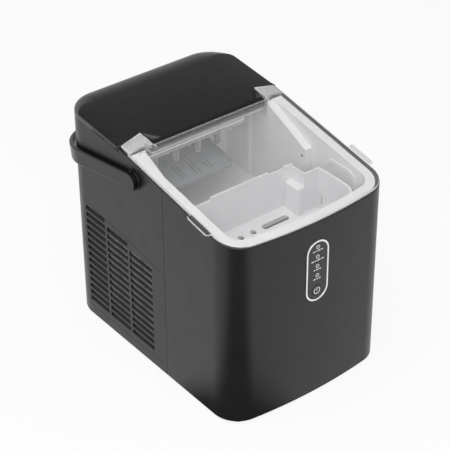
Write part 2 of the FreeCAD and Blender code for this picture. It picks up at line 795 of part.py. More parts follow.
# ---- lid ----
def make_lid():
    plate = plan_prism(LID_INSET, BASE_Z, TOP_Z)
    top = LID_LIFT + LID_T
    axis_z = hinge_point(0).z
    pieces = [plate.common(rim_layer(LID_LIFT, top, -HALF_D, LID_REAR_Y))]
    ear_layer = plate.common(rim_layer(LID_LIFT, top, LID_REAR_Y - EAR_OVERLAP - 1, EAR_INNER_REAR_Y + 5))
    for sign in (-1, 1):
        ear = ear_layer.common(plan_block(ear_outline(sign, 0, 0)))
        x0, x1 = span(sign, HALF_W - EAR_TAIL_INSET, WIDTH)
        pieces.append(ear.cut(box(x0, x1, LID_REAR_Y - OVERLAP, HALF_D, BASE_Z, TOP_Z)))
        x0, x1 = sorted((TONGUE_X[sign] + sign * HINGE_LUG_GAP, TONGUE_X[sign] + sign * HINGE_LUG_W))
        pieces.append(rod(HINGE_DROP, hinge_point(x0), hinge_point(x1)))
        pieces.append(box(x0, x1, LID_HINGE_Y - HINGE_DROP, LID_HINGE_Y + HINGE_DROP,
                          axis_z, axis_z + HINGE_DROP - HINGE_LUG_TOP))
        x0, x1 = span(sign, HALF_W - LIFT_TAB_ROOT, HALF_W + LIFT_TAB_OUT)
        tab = upright_slab(x0, x1, LIFT_TAB_Y[0], LIFT_TAB_Y[1], BASE_Z, TOP_Z, LIFT_TAB_R)
        pieces.append(tab.common(rim_layer(LID_LIFT, top, -HALF_D, 0)))
    skirt = plan_shell(LID_SKIRT_INSET, LID_SKIRT_INSET + LID_SKIRT_W)
    skirt_layer = rim_layer(LID_LIFT - LID_SKIRT_DEPTH, LID_LIFT + OVERLAP, -HALF_D, LID_SKIRT_REAR_Y)
    pieces.append(skirt.common(skirt_layer))
    roll_y = LID_REAR_Y - LID_ROLL_R
    roll_z = rim_z(roll_y) + top - LID_ROLL_R + LID_ROLL_PROUD
    roll_start = V(TONGUE_X[-1] + 1.0, roll_y, roll_z)
    pieces.append(rod(LID_ROLL_R, roll_start, V(TONGUE_X[1] - 1.0, roll_y, roll_z)))
    lid = fuse(pieces)
    for sign in (-1, 1):
        mouth = hinge_point(TONGUE_X[sign] - sign)
        lid = lid.cut(rod(HINGE_BORE_R, mouth, hinge_point(TONGUE_X[sign] + sign * HINGE_BORE_DEPTH)))
    keep("clear_lid", lid)


def make_hinge_pins():
    pins = []
    for sign in (-1, 1):
        start = hinge_point(TONGUE_X[sign] - sign * (EAR_GAP + CAP_WALL))
        end = hinge_point(TONGUE_X[sign] + sign * HINGE_LUG_W)
        pins.append(rod(HINGE_PIN_R, start, end))
    keep("lid_hinge_pins", Part.makeCompound(pins))


# ---- liner ----
def liner_cavity(grow):
    """The liner's hollow, or its outer shape when grow is the wall thickness."""
    tank = plan_prism(RIM_INNER_INSET - grow, TANK_FLOOR_Z - grow, TOP_Z)
    tank = tank.common(box(-WIDTH, WIDTH, -HALF_D, FIN_Y + grow, 0, TOP_Z))
    side = FRONT_HALF_W + grow
    steps = side_prism([
        (FIN_Y - 1, FIN_LOW_Z - grow),
        (FIN_HIGH_Y + grow, FIN_HIGH_Z - grow),
        (FIN_HIGH_Y + grow, TOP_Z),
        (FIN_Y - 1, TOP_Z),
    ], -side, side)
    rear_half = REAR_HALF_W + grow
    rear = box(-rear_half, rear_half, FIN_Y - 1, LINER_REAR_Y + grow, REAR_FLOOR_Z - grow, TOP_Z)
    return fuse([tank, steps, rear])


def liner_side_details(liner, sign):
    """Adds one side's basket ledges, wall ribs and hand pocket, and its sensor and shaft holes."""
    x0, x1 = span(sign, FRONT_HALF_W - OVERLAP, FRONT_HALF_W + POCKET_DEPTH + LINER_WALL)
    boss = side_slab(x0, x1, POCKET_Y[0] - LINER_WALL, POCKET_Y[1] + LINER_WALL,
                     POCKET_Z[0] - LINER_WALL, POCKET_Z[1] + LINER_WALL, POCKET_R + LINER_WALL)
    margin = POCKET_PAD_MARGIN
    x0, x1 = span(sign, FRONT_HALF_W - POCKET_PAD, FRONT_HALF_W + OVERLAP)
    pad = side_slab(x0, x1, POCKET_Y[0] - margin, POCKET_Y[1] + margin,
                    POCKET_Z[0] - margin, POCKET_Z[1] + margin, POCKET_R + margin)
    x0, x1 = span(sign, FRONT_HALF_W - LINER_WALL, FRONT_HALF_W + POCKET_DEPTH)
    pocket = side_slab(x0, x1, POCKET_Y[0], POCKET_Y[1], POCKET_Z[0], POCKET_Z[1], POCKET_R)
    liner = liner.fuse(boss.cut(liner_cavity(0))).fuse(pad).cut(pocket)
    x0, x1 = span(sign, LEDGE_X, FRONT_HALF_W + OVERLAP)
    for y in LEDGE_YS:
        top = basket_floor_z(y) - BASKET_WALL - LEDGE_DROP
        liner = liner.fuse(box(x0, x1, y, y + LEDGE_LENGTH, top - LEDGE_T, top))
    for y in WALL_RIB_YS:
        x0, x1 = span(sign, REAR_HALF_W - WALL_RIB_H, REAR_HALF_W + OVERLAP)
        liner = liner.fuse(box(x0, x1, y, y + WALL_RIB_W, REAR_FLOOR_Z, REAR_DECK_Z - 4))
    inside = sign * (REAR_HALF_W - 7.0)
    outside = sign * (REAR_HALF_W + LINER_WALL + 2.0)
    eye_hole = rod(SENSOR_EYE_R + HOLE_ROOM, V(inside, SENSOR_Y, SENSOR_Z), V(outside, SENSOR_Y, SENSOR_Z))
    shaft_hole_r = TRAY_SHAFT_R + SHAFT_ROOM
    shaft_hole = rod(shaft_hole_r, V(inside, TRAY_AXIS_Y, TRAY_AXIS_Z), V(outside, TRAY_AXIS_Y, TRAY_AXIS_Z))
    return liner.cut(eye_hole).cut(shaft_hole)


def make_liner():
    back = FIN_HIGH_Y + LINER_WALL
    walls = liner_cavity(LINER_WALL).cut(liner_cavity(0))
    rear_top = box(-WIDTH, WIDTH, back, HALF_D, 0, REAR_DECK_Z)
    walls = walls.common(below_rim(-RIM_DROP, -HALF_D, back).fuse(rear_top))
    flange = plan_prism(RIM_OUTER_INSET, BASE_Z, TOP_Z).cut(liner_cavity(0))
    flange = flange.common(rim_layer(-RIM_DROP - RIM_T, -RIM_DROP, -HALF_D, back))
    deck_x = REAR_HALF_W + LINER_WALL + DECK_W
    deck = box(-deck_x, deck_x, DECK_FRONT_Y, LINER_REAR_Y + DECK_W, REAR_DECK_Z - RIM_T, REAR_DECK_Z)
    liner = fuse([walls, flange, deck.cut(liner_cavity(0))])
    for sign in (-1, 1):
        x0, x1 = sorted((TONGUE_X[sign] - sign * EAR_WELL_MARGIN, sign * WIDTH))
        y0, y1 = EAR_WELL_Y
        liner = liner.cut(box(x0, x1, y0, y1 + EAR_WELL_WALL, EAR_WELL_Z, TOP_Z))
        liner = liner_side_details(liner, sign)
    spout_low_z = TANK_FLOOR_Z - LINER_WALL - DRAIN_SPOUT_L
    spout = rod(DRAIN_TUBE_R, V(DRAIN_X, DRAIN_Y, spout_low_z), V(DRAIN_X, DRAIN_Y, TANK_FLOOR_Z - OVERLAP))
    bore = rod(DRAIN_BORE_R, V(DRAIN_X, DRAIN_Y, TANK_FLOOR_Z - 20), V(DRAIN_X, DRAIN_Y, TANK_FLOOR_Z + 1))
    keep("inner_liner", liner.fuse(spout).cut(bore).removeSplitter())


def make_ear_wells():
    """A white floor and back under each ear of the lid, clear of the ear's tail as it swings down."""
    wall = EAR_WELL_WALL
    y0, y1 = EAR_WELL_Y
    wells = []
    for sign in (-1, 1):
        x0, x1 = span(sign, EAR_WELL_INNER_X, EAR_WELL_OUTER_X)
        floor = box(x0, x1, y0, y1 + wall, EAR_WELL_Z - wall, EAR_WELL_Z)
        back = box(x0, x1, y1, y1 + wall, EAR_WELL_Z - wall, EAR_WELL_Z + EAR_WELL_H)
        wells.append(fuse([floor, back]))
    keep("lid_ear_wells", Part.makeCompound(wells))


def make_sensors():
    tip, shoulder, back = SENSOR_X
    eyes = []
    for sign in (-1, 1):

        def at(x):
            return V(sign * x, SENSOR_Y, SENSOR_Z)

        eye = rod(SENSOR_EYE_R, at(tip), at(shoulder + 1))
        eyes.append(fuse([eye, rod(SENSOR_BASE_R, at(shoulder), at(back))]))
    keep("ice_full_sensors", Part.makeCompound(eyes))


# ---- basket ----
def basket_outline(grow, z0, z1):
    """The basket's plan, with a notch in its right rear corner."""
    half = BASKET_HALF_W + grow
    block = box(-half, half, BASKET_Y[0] - grow, BASKET_Y[1] + grow, z0, z1)
    front = [e for e in block.Edges if e.BoundBox.ZLength > 1 and e.BoundBox.YMax < BASKET_Y[0] + 5]
    block = block.makeFillet(BASKET_CORNER_R + grow, front)
    return block.cut(box(NOTCH_X + grow, WIDTH, NOTCH_Y + grow, 0, z0 - 1, z1 + 1))


def basket_floor_z(y):
    """Height of the basket's sloping floor."""
    slope = (BASKET_FLOOR_REAR_Z - BASKET_FLOOR_FRONT_Z) / (BASKET_Y[1] - BASKET_Y[0])
    return BASKET_FLOOR_FRONT_Z + (y - BASKET_Y[0]) * slope


def above_basket_floor(drop):
    """Everything above the basket's floor plane, lowered by drop."""
    y0, y1 = BASKET_Y[0] - BASKET_PAST, BASKET_Y[1] + BASKET_PAST
    z0 = basket_floor_z(y0) - drop
    z1 = basket_floor_z(y1) - drop
    return side_prism([(y0, z0), (y1, z1), (y1, TOP_Z), (y0, TOP_Z)], -WIDTH, WIDTH)


def make_basket():
    rear = BASKET_Y[1]
    low = BASKET_LOW_Z
    outer = basket_outline(0, low, BASKET_RIM_Z).common(above_basket_floor(BASKET_WALL))
    inner = basket_outline(-BASKET_WALL, low, BASKET_RIM_Z + CUT_PAST).common(above_basket_floor(0))
    pillar = upright_slab(PILLAR_X, NOTCH_X - OVERLAP, PILLAR_Y, rear - OVERLAP, low, PILLAR_TOP_Z, PILLAR_R)
    pillar = pillar.makeFillet(PILLAR_TOP_R, [e for e in pillar.Edges if e.BoundBox.ZMin > PILLAR_TOP_Z - 1])
    pieces = [outer.cut(inner), pillar.common(above_basket_floor(OVERLAP))]
    flange = basket_outline(BASKET_FLANGE, BASKET_RIM_Z - BASKET_FLANGE_T, BASKET_RIM_Z)
    flange = flange.cut(basket_outline(-OVERLAP, BASKET_RIM_Z - CUT_PAST, BASKET_RIM_Z + CUT_PAST))
    pieces.append(flange.cut(box(-WIDTH, WIDTH, NOTCH_Y - 6, 50, 0, TOP_Z)))
    for x0, x1, height in REAR_RIBS:
        pieces.append(box(x0, x1, rear - REAR_RIB_T, rear, BASKET_RIM_Z - 1, BASKET_RIM_Z + height))
    basket = fuse(pieces)
    z0, z1 = DRAIN_CUT_Z
    for y in DRAIN_ROW_YS:
        basket = basket.cut(upright_slab(DRAIN_SLOT_X[0], DRAIN_SLOT_X[1], y - DRAIN_SLOT_HALF_W,
                                         y + DRAIN_SLOT_HALF_W, z0, z1, DRAIN_SLOT_HALF_W - ROUND_SLACK))
        for x in DRAIN_HOLE_XS:
            basket = basket.cut(rod(DRAIN_HOLE_R, V(x, y, z0), V(x, y, z1)))
    y0, y1, z0, z1 = WALL_SLIT
    basket = basket.cut(box(BASKET_HALF_W - BASKET_CORNER_R, BASKET_HALF_W + 1, y0, y1, z0, z1))
    y, z, radius = WALL_DOT
    basket = basket.cut(rod(radius, V(BASKET_HALF_W - BASKET_CORNER_R, y, z), V(BASKET_HALF_W + 1, y, z)))
    keep("ice_basket", basket.removeSplitter())


# ---- evaporator, tray and drive ----
def make_evaporator():
    left = FINGER_X0 - HEADER_PAST[0]
    right = FINGER_X0 + (REAR_FINGERS - 1) * FINGER_PITCH + HEADER_PAST[1]
    route = [
        V(left, FINGER_FRONT_Y, HEADER_Z),
        V(right, FINGER_FRONT_Y, HEADER_Z),
        V(right, FINGER_REAR_Y, HEADER_Z),
        V(left, FINGER_REAR_Y, HEADER_Z),
    ]
    pieces = [bent_tube(route, HEADER_R, (FINGER_REAR_Y - FINGER_FRONT_Y) / 2 - HAIR)]
    for y, count in ((FINGER_FRONT_Y, FRONT_FINGERS), (FINGER_REAR_Y, REAR_FINGERS)):
        for index in range(count):
            tip = V(FINGER_X0 + index * FINGER_PITCH, y, FINGER_BOTTOM_Z + FINGER_R)
            pieces.append(rod(FINGER_R, tip, V(tip.x, y, HEADER_Z)))
            pieces.append(Part.makeSphere(FINGER_R, tip))
    keep("evaporator", fuse(pieces))


def make_evaporator_cover():
    cover = box(-COVER_HALF_W, COVER_HALF_W, COVER_Y[0], COVER_Y[1], COVER_Z[0], COVER_Z[1])
    for sign in (-1, 1):
        x0, x1 = sorted((TONGUE_X[sign] - sign * 2.0, sign * WIDTH))
        cover = cover.cut(box(x0, x1, 0, COVER_NOTCH_Y, 0, TOP_Z))
    keep("evaporator_cover", cover)


def tray_frame(shape):
    """Tilts a tray piece, drawn level, to its resting slope about its front edge."""
    placed = shape.copy()
    placed.rotate(V(0, TRAY_FRONT_Y, TRAY_FRONT_Z), X_AXIS, TRAY_TILT)
    return placed


def level_tray():
    """The water tray's pan, rim and paired ribs before it is tilted."""
    x0, x1 = TRAY_X
    y0, y1 = TRAY_FRONT_Y, TRAY_REAR_Y
    z0 = TRAY_FRONT_Z
    pan = upright_slab(x0, x1, y0, y1, z0 - TRAY_T, z0, TRAY_CORNER_R)
    rim = upright_slab(x0, x1, y0, y1, z0 - TRAY_T, z0 + TRAY_RIM_H, TRAY_CORNER_R)
    inner_r = TRAY_CORNER_R - TRAY_RIM_W
    rim = rim.cut(upright_slab(x0 + TRAY_RIM_W, x1 - TRAY_RIM_W, y0 + TRAY_RIM_W, y1 - TRAY_RIM_W,
                               z0 - CUT_PAST, z0 + CUT_PAST, inner_r))
    pieces = [pan, rim]
    for centre, rear_y in TRAY_RIBS:
        for x in (centre - TRAY_RIB_HALF_GAP, centre + TRAY_RIB_HALF_GAP):
            rib = box(x - TRAY_RIB_HALF_W, x + TRAY_RIB_HALF_W, y0 + 9, rear_y, z0 - OVERLAP, z0 + TRAY_RIB_H)
            pieces.append(rib)
    return fuse(pieces)


def make_tray():
    pieces = [tray_frame(level_tray())]
    for x in (TRAY_X[0] + TRAY_ARM_INSET[0], TRAY_X[1] - TRAY_ARM_INSET[1]):
        centre = V(x, TRAY_AXIS_Y, TRAY_AXIS_Z)
        hub = rod(TRAY_HUB_R, centre, centre + V(TRAY_ARM_W, 0, 0))
        web = side_prism([
            (TRAY_REAR_Y - TRAY_WEB_LOW[0], TRAY_AXIS_Z - TRAY_WEB_LOW[1]),
            (TRAY_AXIS_Y, TRAY_AXIS_Z - TRAY_HUB_R),
            (TRAY_AXIS_Y, TRAY_AXIS_Z + TRAY_HUB_R),
            (TRAY_REAR_Y - TRAY_WEB_TOP[0], TRAY_AXIS_Z - TRAY_WEB_TOP[1]),
        ], x, x + TRAY_ARM_W)
        pieces += [hub, web]
    left = V(TRAY_X[0] - CUT_PAST, TRAY_AXIS_Y, TRAY_AXIS_Z)
    right = V(TRAY_X[1] + CUT_PAST, TRAY_AXIS_Y, TRAY_AXIS_Z)
    keep("water_tray", fuse(pieces).cut(rod(TRAY_SHAFT_R, left, right)))
    shaft_start = V(-TRAY_SHAFT_END_X, TRAY_AXIS_Y, TRAY_AXIS_Z)
    keep("tray_shaft", rod(TRAY_SHAFT_R, shaft_start, V(TRAY_SHAFT_END_X, TRAY_AXIS_Y, TRAY_AXIS_Z)))


def make_tray_motor():
    centre = V(TRAY_MOTOR_X, TRAY_AXIS_Y, TRAY_AXIS_Z)
    can = rod(TRAY_MOTOR_R, centre, centre + V(TRAY_MOTOR_L, 0, 0))
    half_w, half_h, thickness = TRAY_MOTOR_EAR
    ears = side_slab(TRAY_MOTOR_X, TRAY_MOTOR_X + thickness, TRAY_AXIS_Y - half_w, TRAY_AXIS_Y + half_w,
                     TRAY_AXIS_Z - half_h, TRAY_AXIS_Z + half_h, half_w - ROUND_SLACK)
    keep("tray_motor", fuse([can, ears]))


def make_shovel():
    y = TRAY_REAR_Y - SHOVEL_SET_BACK
    middle = (TRAY_X[0] + TRAY_X[1]) / 2
    low = TRAY_FRONT_Z + SHOVEL_LIFT
    blade = upright_slab(middle - SHOVEL_LENGTH / 2, middle + SHOVEL_LENGTH / 2, y, y + SHOVEL_T,
                         low, low + SHOVEL_H, SHOVEL_T / 2 - ROUND_SLACK)
    keep("ice_shovel", tray_frame(blade))


# ---- handle ----
def handle_outline(grow, z0, z1):
    """The handle's plan, drawn level and pointing back, with its two rear corners rounded."""
    half = HANDLE_IN_X + grow
    block = box(-half, half, PIVOT_Y - HALF_D, PIVOT_Y + HANDLE_REACH + grow, z0, z1)
    ends = [e for e in block.Edges if e.BoundBox.ZLength > 1 and e.BoundBox.YMin > PIVOT_Y]
    return block.makeFillet(HANDLE_CORNER_R + grow, ends)


def make_handle():
    z0 = PIVOT_Z - HANDLE_BAND / 2
    z1 = PIVOT_Z + HANDLE_BAND / 2
    band = handle_outline(HANDLE_T, z0, z1).cut(handle_outline(0, z0 - 1, z1 + 1))
    band = band.cut(box(-WIDTH, WIDTH, -DEPTH, PIVOT_Y, 0, TOP_Z))
    band = band.makeFillet(HANDLE_ROUND, [e for e in level_rims(band) if e.Length > HANDLE_T + 1])
    pieces = [band]
    for sign in (-1, 1):
        inside = V(sign * HANDLE_IN_X, PIVOT_Y, PIVOT_Z)
        outside = V(sign * (HANDLE_IN_X + HANDLE_T + HANDLE_EYE_PROUD), PIVOT_Y, PIVOT_Z)
        pieces.append(rod(HANDLE_EYE_R, inside, outside))
    handle = fuse(pieces)
    for sign in (-1, 1):
        mouth = V(sign * HALF_W, PIVOT_Y, PIVOT_Z)
        blind_end = V(sign * (HANDLE_IN_X + HANDLE_T - PIVOT_BLIND), PIVOT_Y, PIVOT_Z)
        handle = handle.cut(rod(PIVOT_BORE_R, mouth, blind_end))
    handle.rotate(V(0, PIVOT_Y, PIVOT_Z), X_AXIS, -HANDLE_TILT)
    keep("carry_handle", handle)


def make_handle_bosses():
    bosses, pins = [], []
    boss_x = HANDLE_IN_X - BOSS_GAP
    head_x = HALF_W - WALL - PIVOT_HEAD_T
    for sign in (-1, 1):

        def at(x):
            return V(sign * x, PIVOT_Y, PIVOT_Z)

        boss = rod(BOSS_R, at(HALF_W + TOUCH_GAP), at(boss_x))
        rims = [e for e in boss.Edges if abs(e.BoundBox.Center.x - sign * boss_x) < TINY]
        boss = boss.makeFillet(BOSS_ROUND, rims)
        bosses.append(boss.cut(rod(PIVOT_PIN_R, at(HALF_W - 5), at(HANDLE_IN_X + 5))))
        stem = rod(PIVOT_PIN_R, at(head_x), at(HANDLE_IN_X + HANDLE_T - PIVOT_BLIND - PIVOT_TIP_GAP))
        pins.append(fuse([stem, rod(PIVOT_HEAD_R, at(head_x), at(HALF_W - WALL - PIVOT_HEAD_GAP))]))
    keep("handle_bosses", Part.makeCompound(bosses))
    keep("handle_pivot_pins", Part.makeCompound(pins))


# ---- control panel ----
def make_control_ring_and_panel():
    front = -HALF_D - RING_PROUD
    outer = front_pill(PILL_X, PILL_Z, PILL_HALF_W, PILL_HALF_H, PILL_HALF_W - HAIR, front, PANEL_BACK_Y)
    half_w = PILL_HALF_W - PILL_RING
    half_h = PILL_HALF_H - PILL_RING
    inner = front_pill(PILL_X, PILL_Z, half_w, half_h, half_w - HAIR, front - CUT_PAST, -HALF_D + 8)
    keep("control_ring", outer.cut(inner))
    half_w -= GLASS_GAP
    half_h -= GLASS_GAP
    glass = front_pill(PILL_X, PILL_Z, half_w, half_h, half_w - HAIR, -HALF_D - GLASS_PROUD, PANEL_BACK_Y)
    for z in LED_Z:
        glass = glass.cut(rod(LED_R + GLASS_GAP, V(PILL_X, -HALF_D - 5, z), V(PILL_X, -HALF_D + 5, z)))
    well_r = BUTTON_R + BUTTON_GAP
    well = rod(well_r, V(PILL_X, -HALF_D - 5, BUTTON_Z), V(PILL_X, -HALF_D + 5, BUTTON_Z))
    keep("control_panel", glass.cut(well))


def make_lights_and_button():
    front = -HALF_D - LED_PROUD
    lights = [rod(LED_R, V(PILL_X, front, z), V(PILL_X, -HALF_D + LED_L, z)) for z in LED_Z]
    keep("indicator_lights", Part.makeCompound(lights))
    face = V(PILL_X, -HALF_D - BUTTON_PROUD, BUTTON_Z)
    back = V(PILL_X, -HALF_D + BUTTON_BACK, BUTTON_Z)
    stem_end = V(PILL_X, -HALF_D + BUTTON_STEM_BACK, BUTTON_Z)
    keep("power_button", fuse([rod(BUTTON_R, face, back), rod(BUTTON_STEM_R, back - Y_AXIS, stem_end)]))


def make_display_board():
    half_w, half_h, radius = DISPLAY_BOARD
    y0, y1 = DISPLAY_BOARD_Y
    keep("display_board", front_pill(PILL_X, PILL_Z - DISPLAY_BOARD_DROP, half_w, half_h, radius, y0, y1))


# ---- machine room ----
def make_compressor():
    low, high = COMPRESSOR_Z

    def at(z):
        return V(COMPRESSOR_X, COMPRESSOR_Y, z)

    can = rod(COMPRESSOR_R, at(low), at(high))
    can = can.makeFillet(COMPRESSOR_DOME_R, level_rims(can))
    seam = rod(COMPRESSOR_R + COMPRESSOR_SEAM_OUT, at(COMPRESSOR_SEAM_Z[0]), at(COMPRESSOR_SEAM_Z[1]))
    half = FEET_PLATE_HALF
    arm = FEET_ARM_HALF
    x, y = COMPRESSOR_X, COMPRESSOR_Y
    plate = upright_slab(x - half, x + half, y - half, y + half, FEET_PLATE_Z[0], FEET_PLATE_Z[1], 8.0)
    cross = fuse([
        box(x - half, x + half, y - arm, y + arm, 0, TOP_Z),
        box(x - arm, x + arm, y - half, y + half, 0, TOP_Z),
    ])
    pieces = [can, seam, plate.common(cross)]
    for port_x, port_y in (DISCHARGE_PORT, SUCTION_PORT):
        pieces.append(rod(PORT_R, V(port_x, port_y, PORT_Z[0]), V(port_x, port_y, PORT_Z[1])))
    keep("compressor", fuse(pieces))
    grommets = []
    for dx, dy in COMPRESSOR_FEET:
        grommets.append(rod(GROMMET_R, V(x + dx, y + dy, FLOOR_TOP_Z), V(x + dx, y + dy, FEET_PLATE_Z[0])))
    keep("compressor_grommets", Part.makeCompound(grommets))


def make_condenser():
    x0, x1 = CONDENSER_X
    z0, z1 = CONDENSER_Z
    block = box(x0, x1, FAN_Y - CONDENSER_HALF_D, FAN_Y + CONDENSER_HALF_D, z0, z1)
    for index in range(FIN_COUNT):
        y = FAN_Y + FIN_FIRST + index * FIN_PITCH
        block = block.cut(box(x0 + FIN_PLATE_T, x1 - FIN_PLATE_T, y, y + FIN_SPACE, z0 - 1, z1 + 1))
    keep("condenser_fins", block)
    half = BRACKET_HALF_D
    foot = box(x0, x1, FAN_Y - half, FAN_Y + half, FLOOR_TOP_Z, FLOOR_TOP_Z + BRACKET_T)
    legs = []
    for y in (FAN_Y - half, FAN_Y + half - BRACKET_LEG_T):
        legs.append(box(BRACKET_LEG_X[0], BRACKET_LEG_X[1], y, y + BRACKET_LEG_T, FLOOR_TOP_Z + 1, z0))
    keep("condenser_bracket", fuse([foot] + legs))


def fan_point(x):
    """A point on the fan's axis, a distance behind the shroud's face."""
    return V(SHROUD_X + x, FAN_Y, FAN_Z)


def make_fan_shroud():
    plate = side_slab(SHROUD_X, SHROUD_X + SHROUD_T, FAN_Y - SHROUD_HALF_D, FAN_Y + SHROUD_HALF_D,
                      FLOOR_TOP_Z, SHROUD_TOP_Z, SHROUD_CORNER_R)
    inner_r = FAN_R + DUCT_GAP
    plate = plate.cut(rod(inner_r, fan_point(-1), fan_point(DUCT_L)))
    duct = ring(inner_r + DUCT_WALL, inner_r, fan_point(1), fan_point(DUCT_L))
    x0 = SHROUD_X + DUCT_L - SHROUD_T
    x1 = SHROUD_X + DUCT_L
    reach = inner_r + OVERLAP
    half = SPOKE_HALF_W
    level_spoke = box(x0, x1, FAN_Y - reach, FAN_Y + reach, FAN_Z - half, FAN_Z + half)
    upright_spoke = box(x0, x1, FAN_Y - half, FAN_Y + half, FAN_Z - reach, FAN_Z + reach)
    shroud = fuse([plate, duct, level_spoke, upright_spoke])
    keep("fan_shroud", shroud.cut(rod(FAN_SHAFT_HOLE_R, fan_point(0), fan_point(DUCT_L + 1))))
    keep("fan_motor", rod(FAN_MOTOR_R, fan_point(DUCT_L), fan_point(DUCT_L + FAN_MOTOR_L)))


def make_fan_blades():
    centre_x = (FAN_HUB_X[0] + FAN_HUB_X[1]) / 2
    pieces = [
        rod(FAN_HUB_R, V(FAN_HUB_X[0], FAN_Y, FAN_Z), V(FAN_HUB_X[1], FAN_Y, FAN_Z)),
        rod(FAN_SHAFT_R, V(FAN_HUB_X[1] - 2, FAN_Y, FAN_Z), fan_point(DUCT_L - 0.1)),
    ]
    length, thickness, height = BLADE_SIZE
    for index in range(BLADE_COUNT):
        blade = Part.makeBox(length, thickness, height, V(-length / 2, -thickness / 2, BLADE_ROOT))
        blade.rotate(V(0, 0, 0), Z_AXIS, BLADE_PITCH)
        blade.rotate(V(0, 0, 0), X_AXIS, index * 360.0 / BLADE_COUNT)
        blade.translate(V(centre_x, FAN_Y, FAN_Z))
        pieces.append(blade)
    keep("fan_blades", fuse(pieces))


def make_boards():
    y = BOARD_Y
    x0, x1 = BOARD_X
    z0, z1 = BOARD_Z
    pieces = [box(x0, x1, y, y + BOARD_T, z0, z1)]
    for left, right, low, high, depth in (TRANSFORMER, RELAY):
        pieces.append(box(left, right, y - depth, y + OVERLAP, low, high))
    x, z, radius, depth = CAPACITOR
    pieces.append(rod(radius, V(x, y - depth, z), V(x, y + OVERLAP, z)))
    keep("main_board", fuse(pieces))
    posts = []
    for x in (x0 + STANDOFF_INSET, x1 - STANDOFF_INSET):
        for z in (z0 + STANDOFF_INSET, z1 - STANDOFF_INSET):
            posts.append(rod(STANDOFF_R, V(x, y + BOARD_T, z), V(x, HALF_D - WALL, z)))
    keep("board_standoffs", Part.makeCompound(posts))


def make_pump():
    low, high = PUMP_Z
    pump = fuse([
        rod(PUMP_R, V(PUMP_X, PUMP_Y, low), V(PUMP_X, PUMP_Y, high)),
        rod(HOSE_R, V(PUMP_X, PUMP_Y, high - 4), V(PUMP_X, PUMP_Y, PUMP_OUTLET_TOP_Z)),
        rod(HOSE_R, V(PUMP_X, PUMP_Y - 6, PUMP_INLET_Z), V(PUMP_X, PUMP_INLET_Y, PUMP_INLET_Z)),
    ])
    keep("water_pump", pump)
    half = PUMP_PAD_HALF
    pad = upright_slab(PUMP_X - half, PUMP_X + half, PUMP_Y - half, PUMP_Y + half, FLOOR_TOP_Z, low, HOSE_R)
    keep("pump_pad", pad)


def make_hoses():
    end_y, end_z = HOSE_END
    keep("water_hose", bent_tube([
        V(PUMP_X, PUMP_Y, PUMP_OUTLET_TOP_Z),
        V(PUMP_X, PUMP_Y, HOSE_LOW_Z),
        V(HOSE_SIDE_X, PUMP_Y, HOSE_LOW_Z),
        V(HOSE_SIDE_X, PUMP_Y, HOSE_HIGH_Z),
        V(HOSE_SIDE_X, end_y, HOSE_HIGH_Z),
        V(HOSE_SIDE_X, end_y, end_z),
    ], HOSE_R, HOSE_BEND))
    keep("inlet_hose", bent_tube([
        V(PUMP_X, PUMP_INLET_Y, PUMP_INLET_Z),
        V(PUMP_X, INLET_TURN_Y, PUMP_INLET_Z),
        V(PUMP_X, INLET_RISE_Y, INLET_RISE_Z),
        V(PUMP_X, INLET_RISE_Y, TANK_FLOOR_Z - LINER_WALL),
    ], HOSE_R, HOSE_BEND))


def make_drain():
    def at(x):
        return V(x, DRAIN_Y, DRAIN_Z)

    elbow = bent_tube([
        V(DRAIN_X, DRAIN_Y, TANK_FLOOR_Z - LINER_WALL - DRAIN_SPOUT_L),
        at(DRAIN_X),
        at(HALF_W - DRAIN_END_INSET),
    ], DRAIN_TUBE_R, DRAIN_BEND)
    collar = rod(DRAIN_COLLAR_R, at(HALF_W - DRAIN_COLLAR_X[0]), at(HALF_W - DRAIN_COLLAR_X[1]))
    socket = rod(PLUG_SOCKET_R, at(HALF_W - PLUG_DEPTH - PLUG_TIP_ROOM), at(HALF_W + CUT_PAST))
    keep("drain_pipe", fuse([elbow, collar]).cut(socket))
    length, half_w, half_h = PLUG_GRIP
    plug = fuse([
        rod(PLUG_R, at(HALF_W - PLUG_DEPTH), at(HALF_W + OVERLAP)),
        rod(PLUG_HEAD_R, at(HALF_W + PLUG_HEAD_X[0]), at(HALF_W + PLUG_HEAD_X[1])),
        box(HALF_W + PLUG_GRIP_X, HALF_W + PLUG_GRIP_X + length, DRAIN_Y - half_w, DRAIN_Y + half_w,
            DRAIN_Z - half_h, DRAIN_Z + half_h),
    ])
    keep("drain_plug", plug)


def make_drier_and_valve():
    drier = rod(DRIER_R, V(DRIER_X, DRIER_Y, DRIER_Z[0]), V(DRIER_X, DRIER_Y, DRIER_Z[1]))
    keep("filter_drier", drier.makeFillet(DRIER_END_R, level_rims(drier)))
    x = (VALVE_X[0] + VALVE_X[1]) / 2
    y = (VALVE_Y[0] + VALVE_Y[1]) / 2
    body = box(VALVE_X[0], VALVE_X[1], VALVE_Y[0], VALVE_Y[1], VALVE_Z[0], VALVE_Z[1])
    tube = rod(VALVE_TUBE_R, V(x, y, VALVE_TUBE_LOW_Z), V(x, y, VALVE_Z[0] + 1))
    keep("hot_gas_valve", fuse([body, tube]))


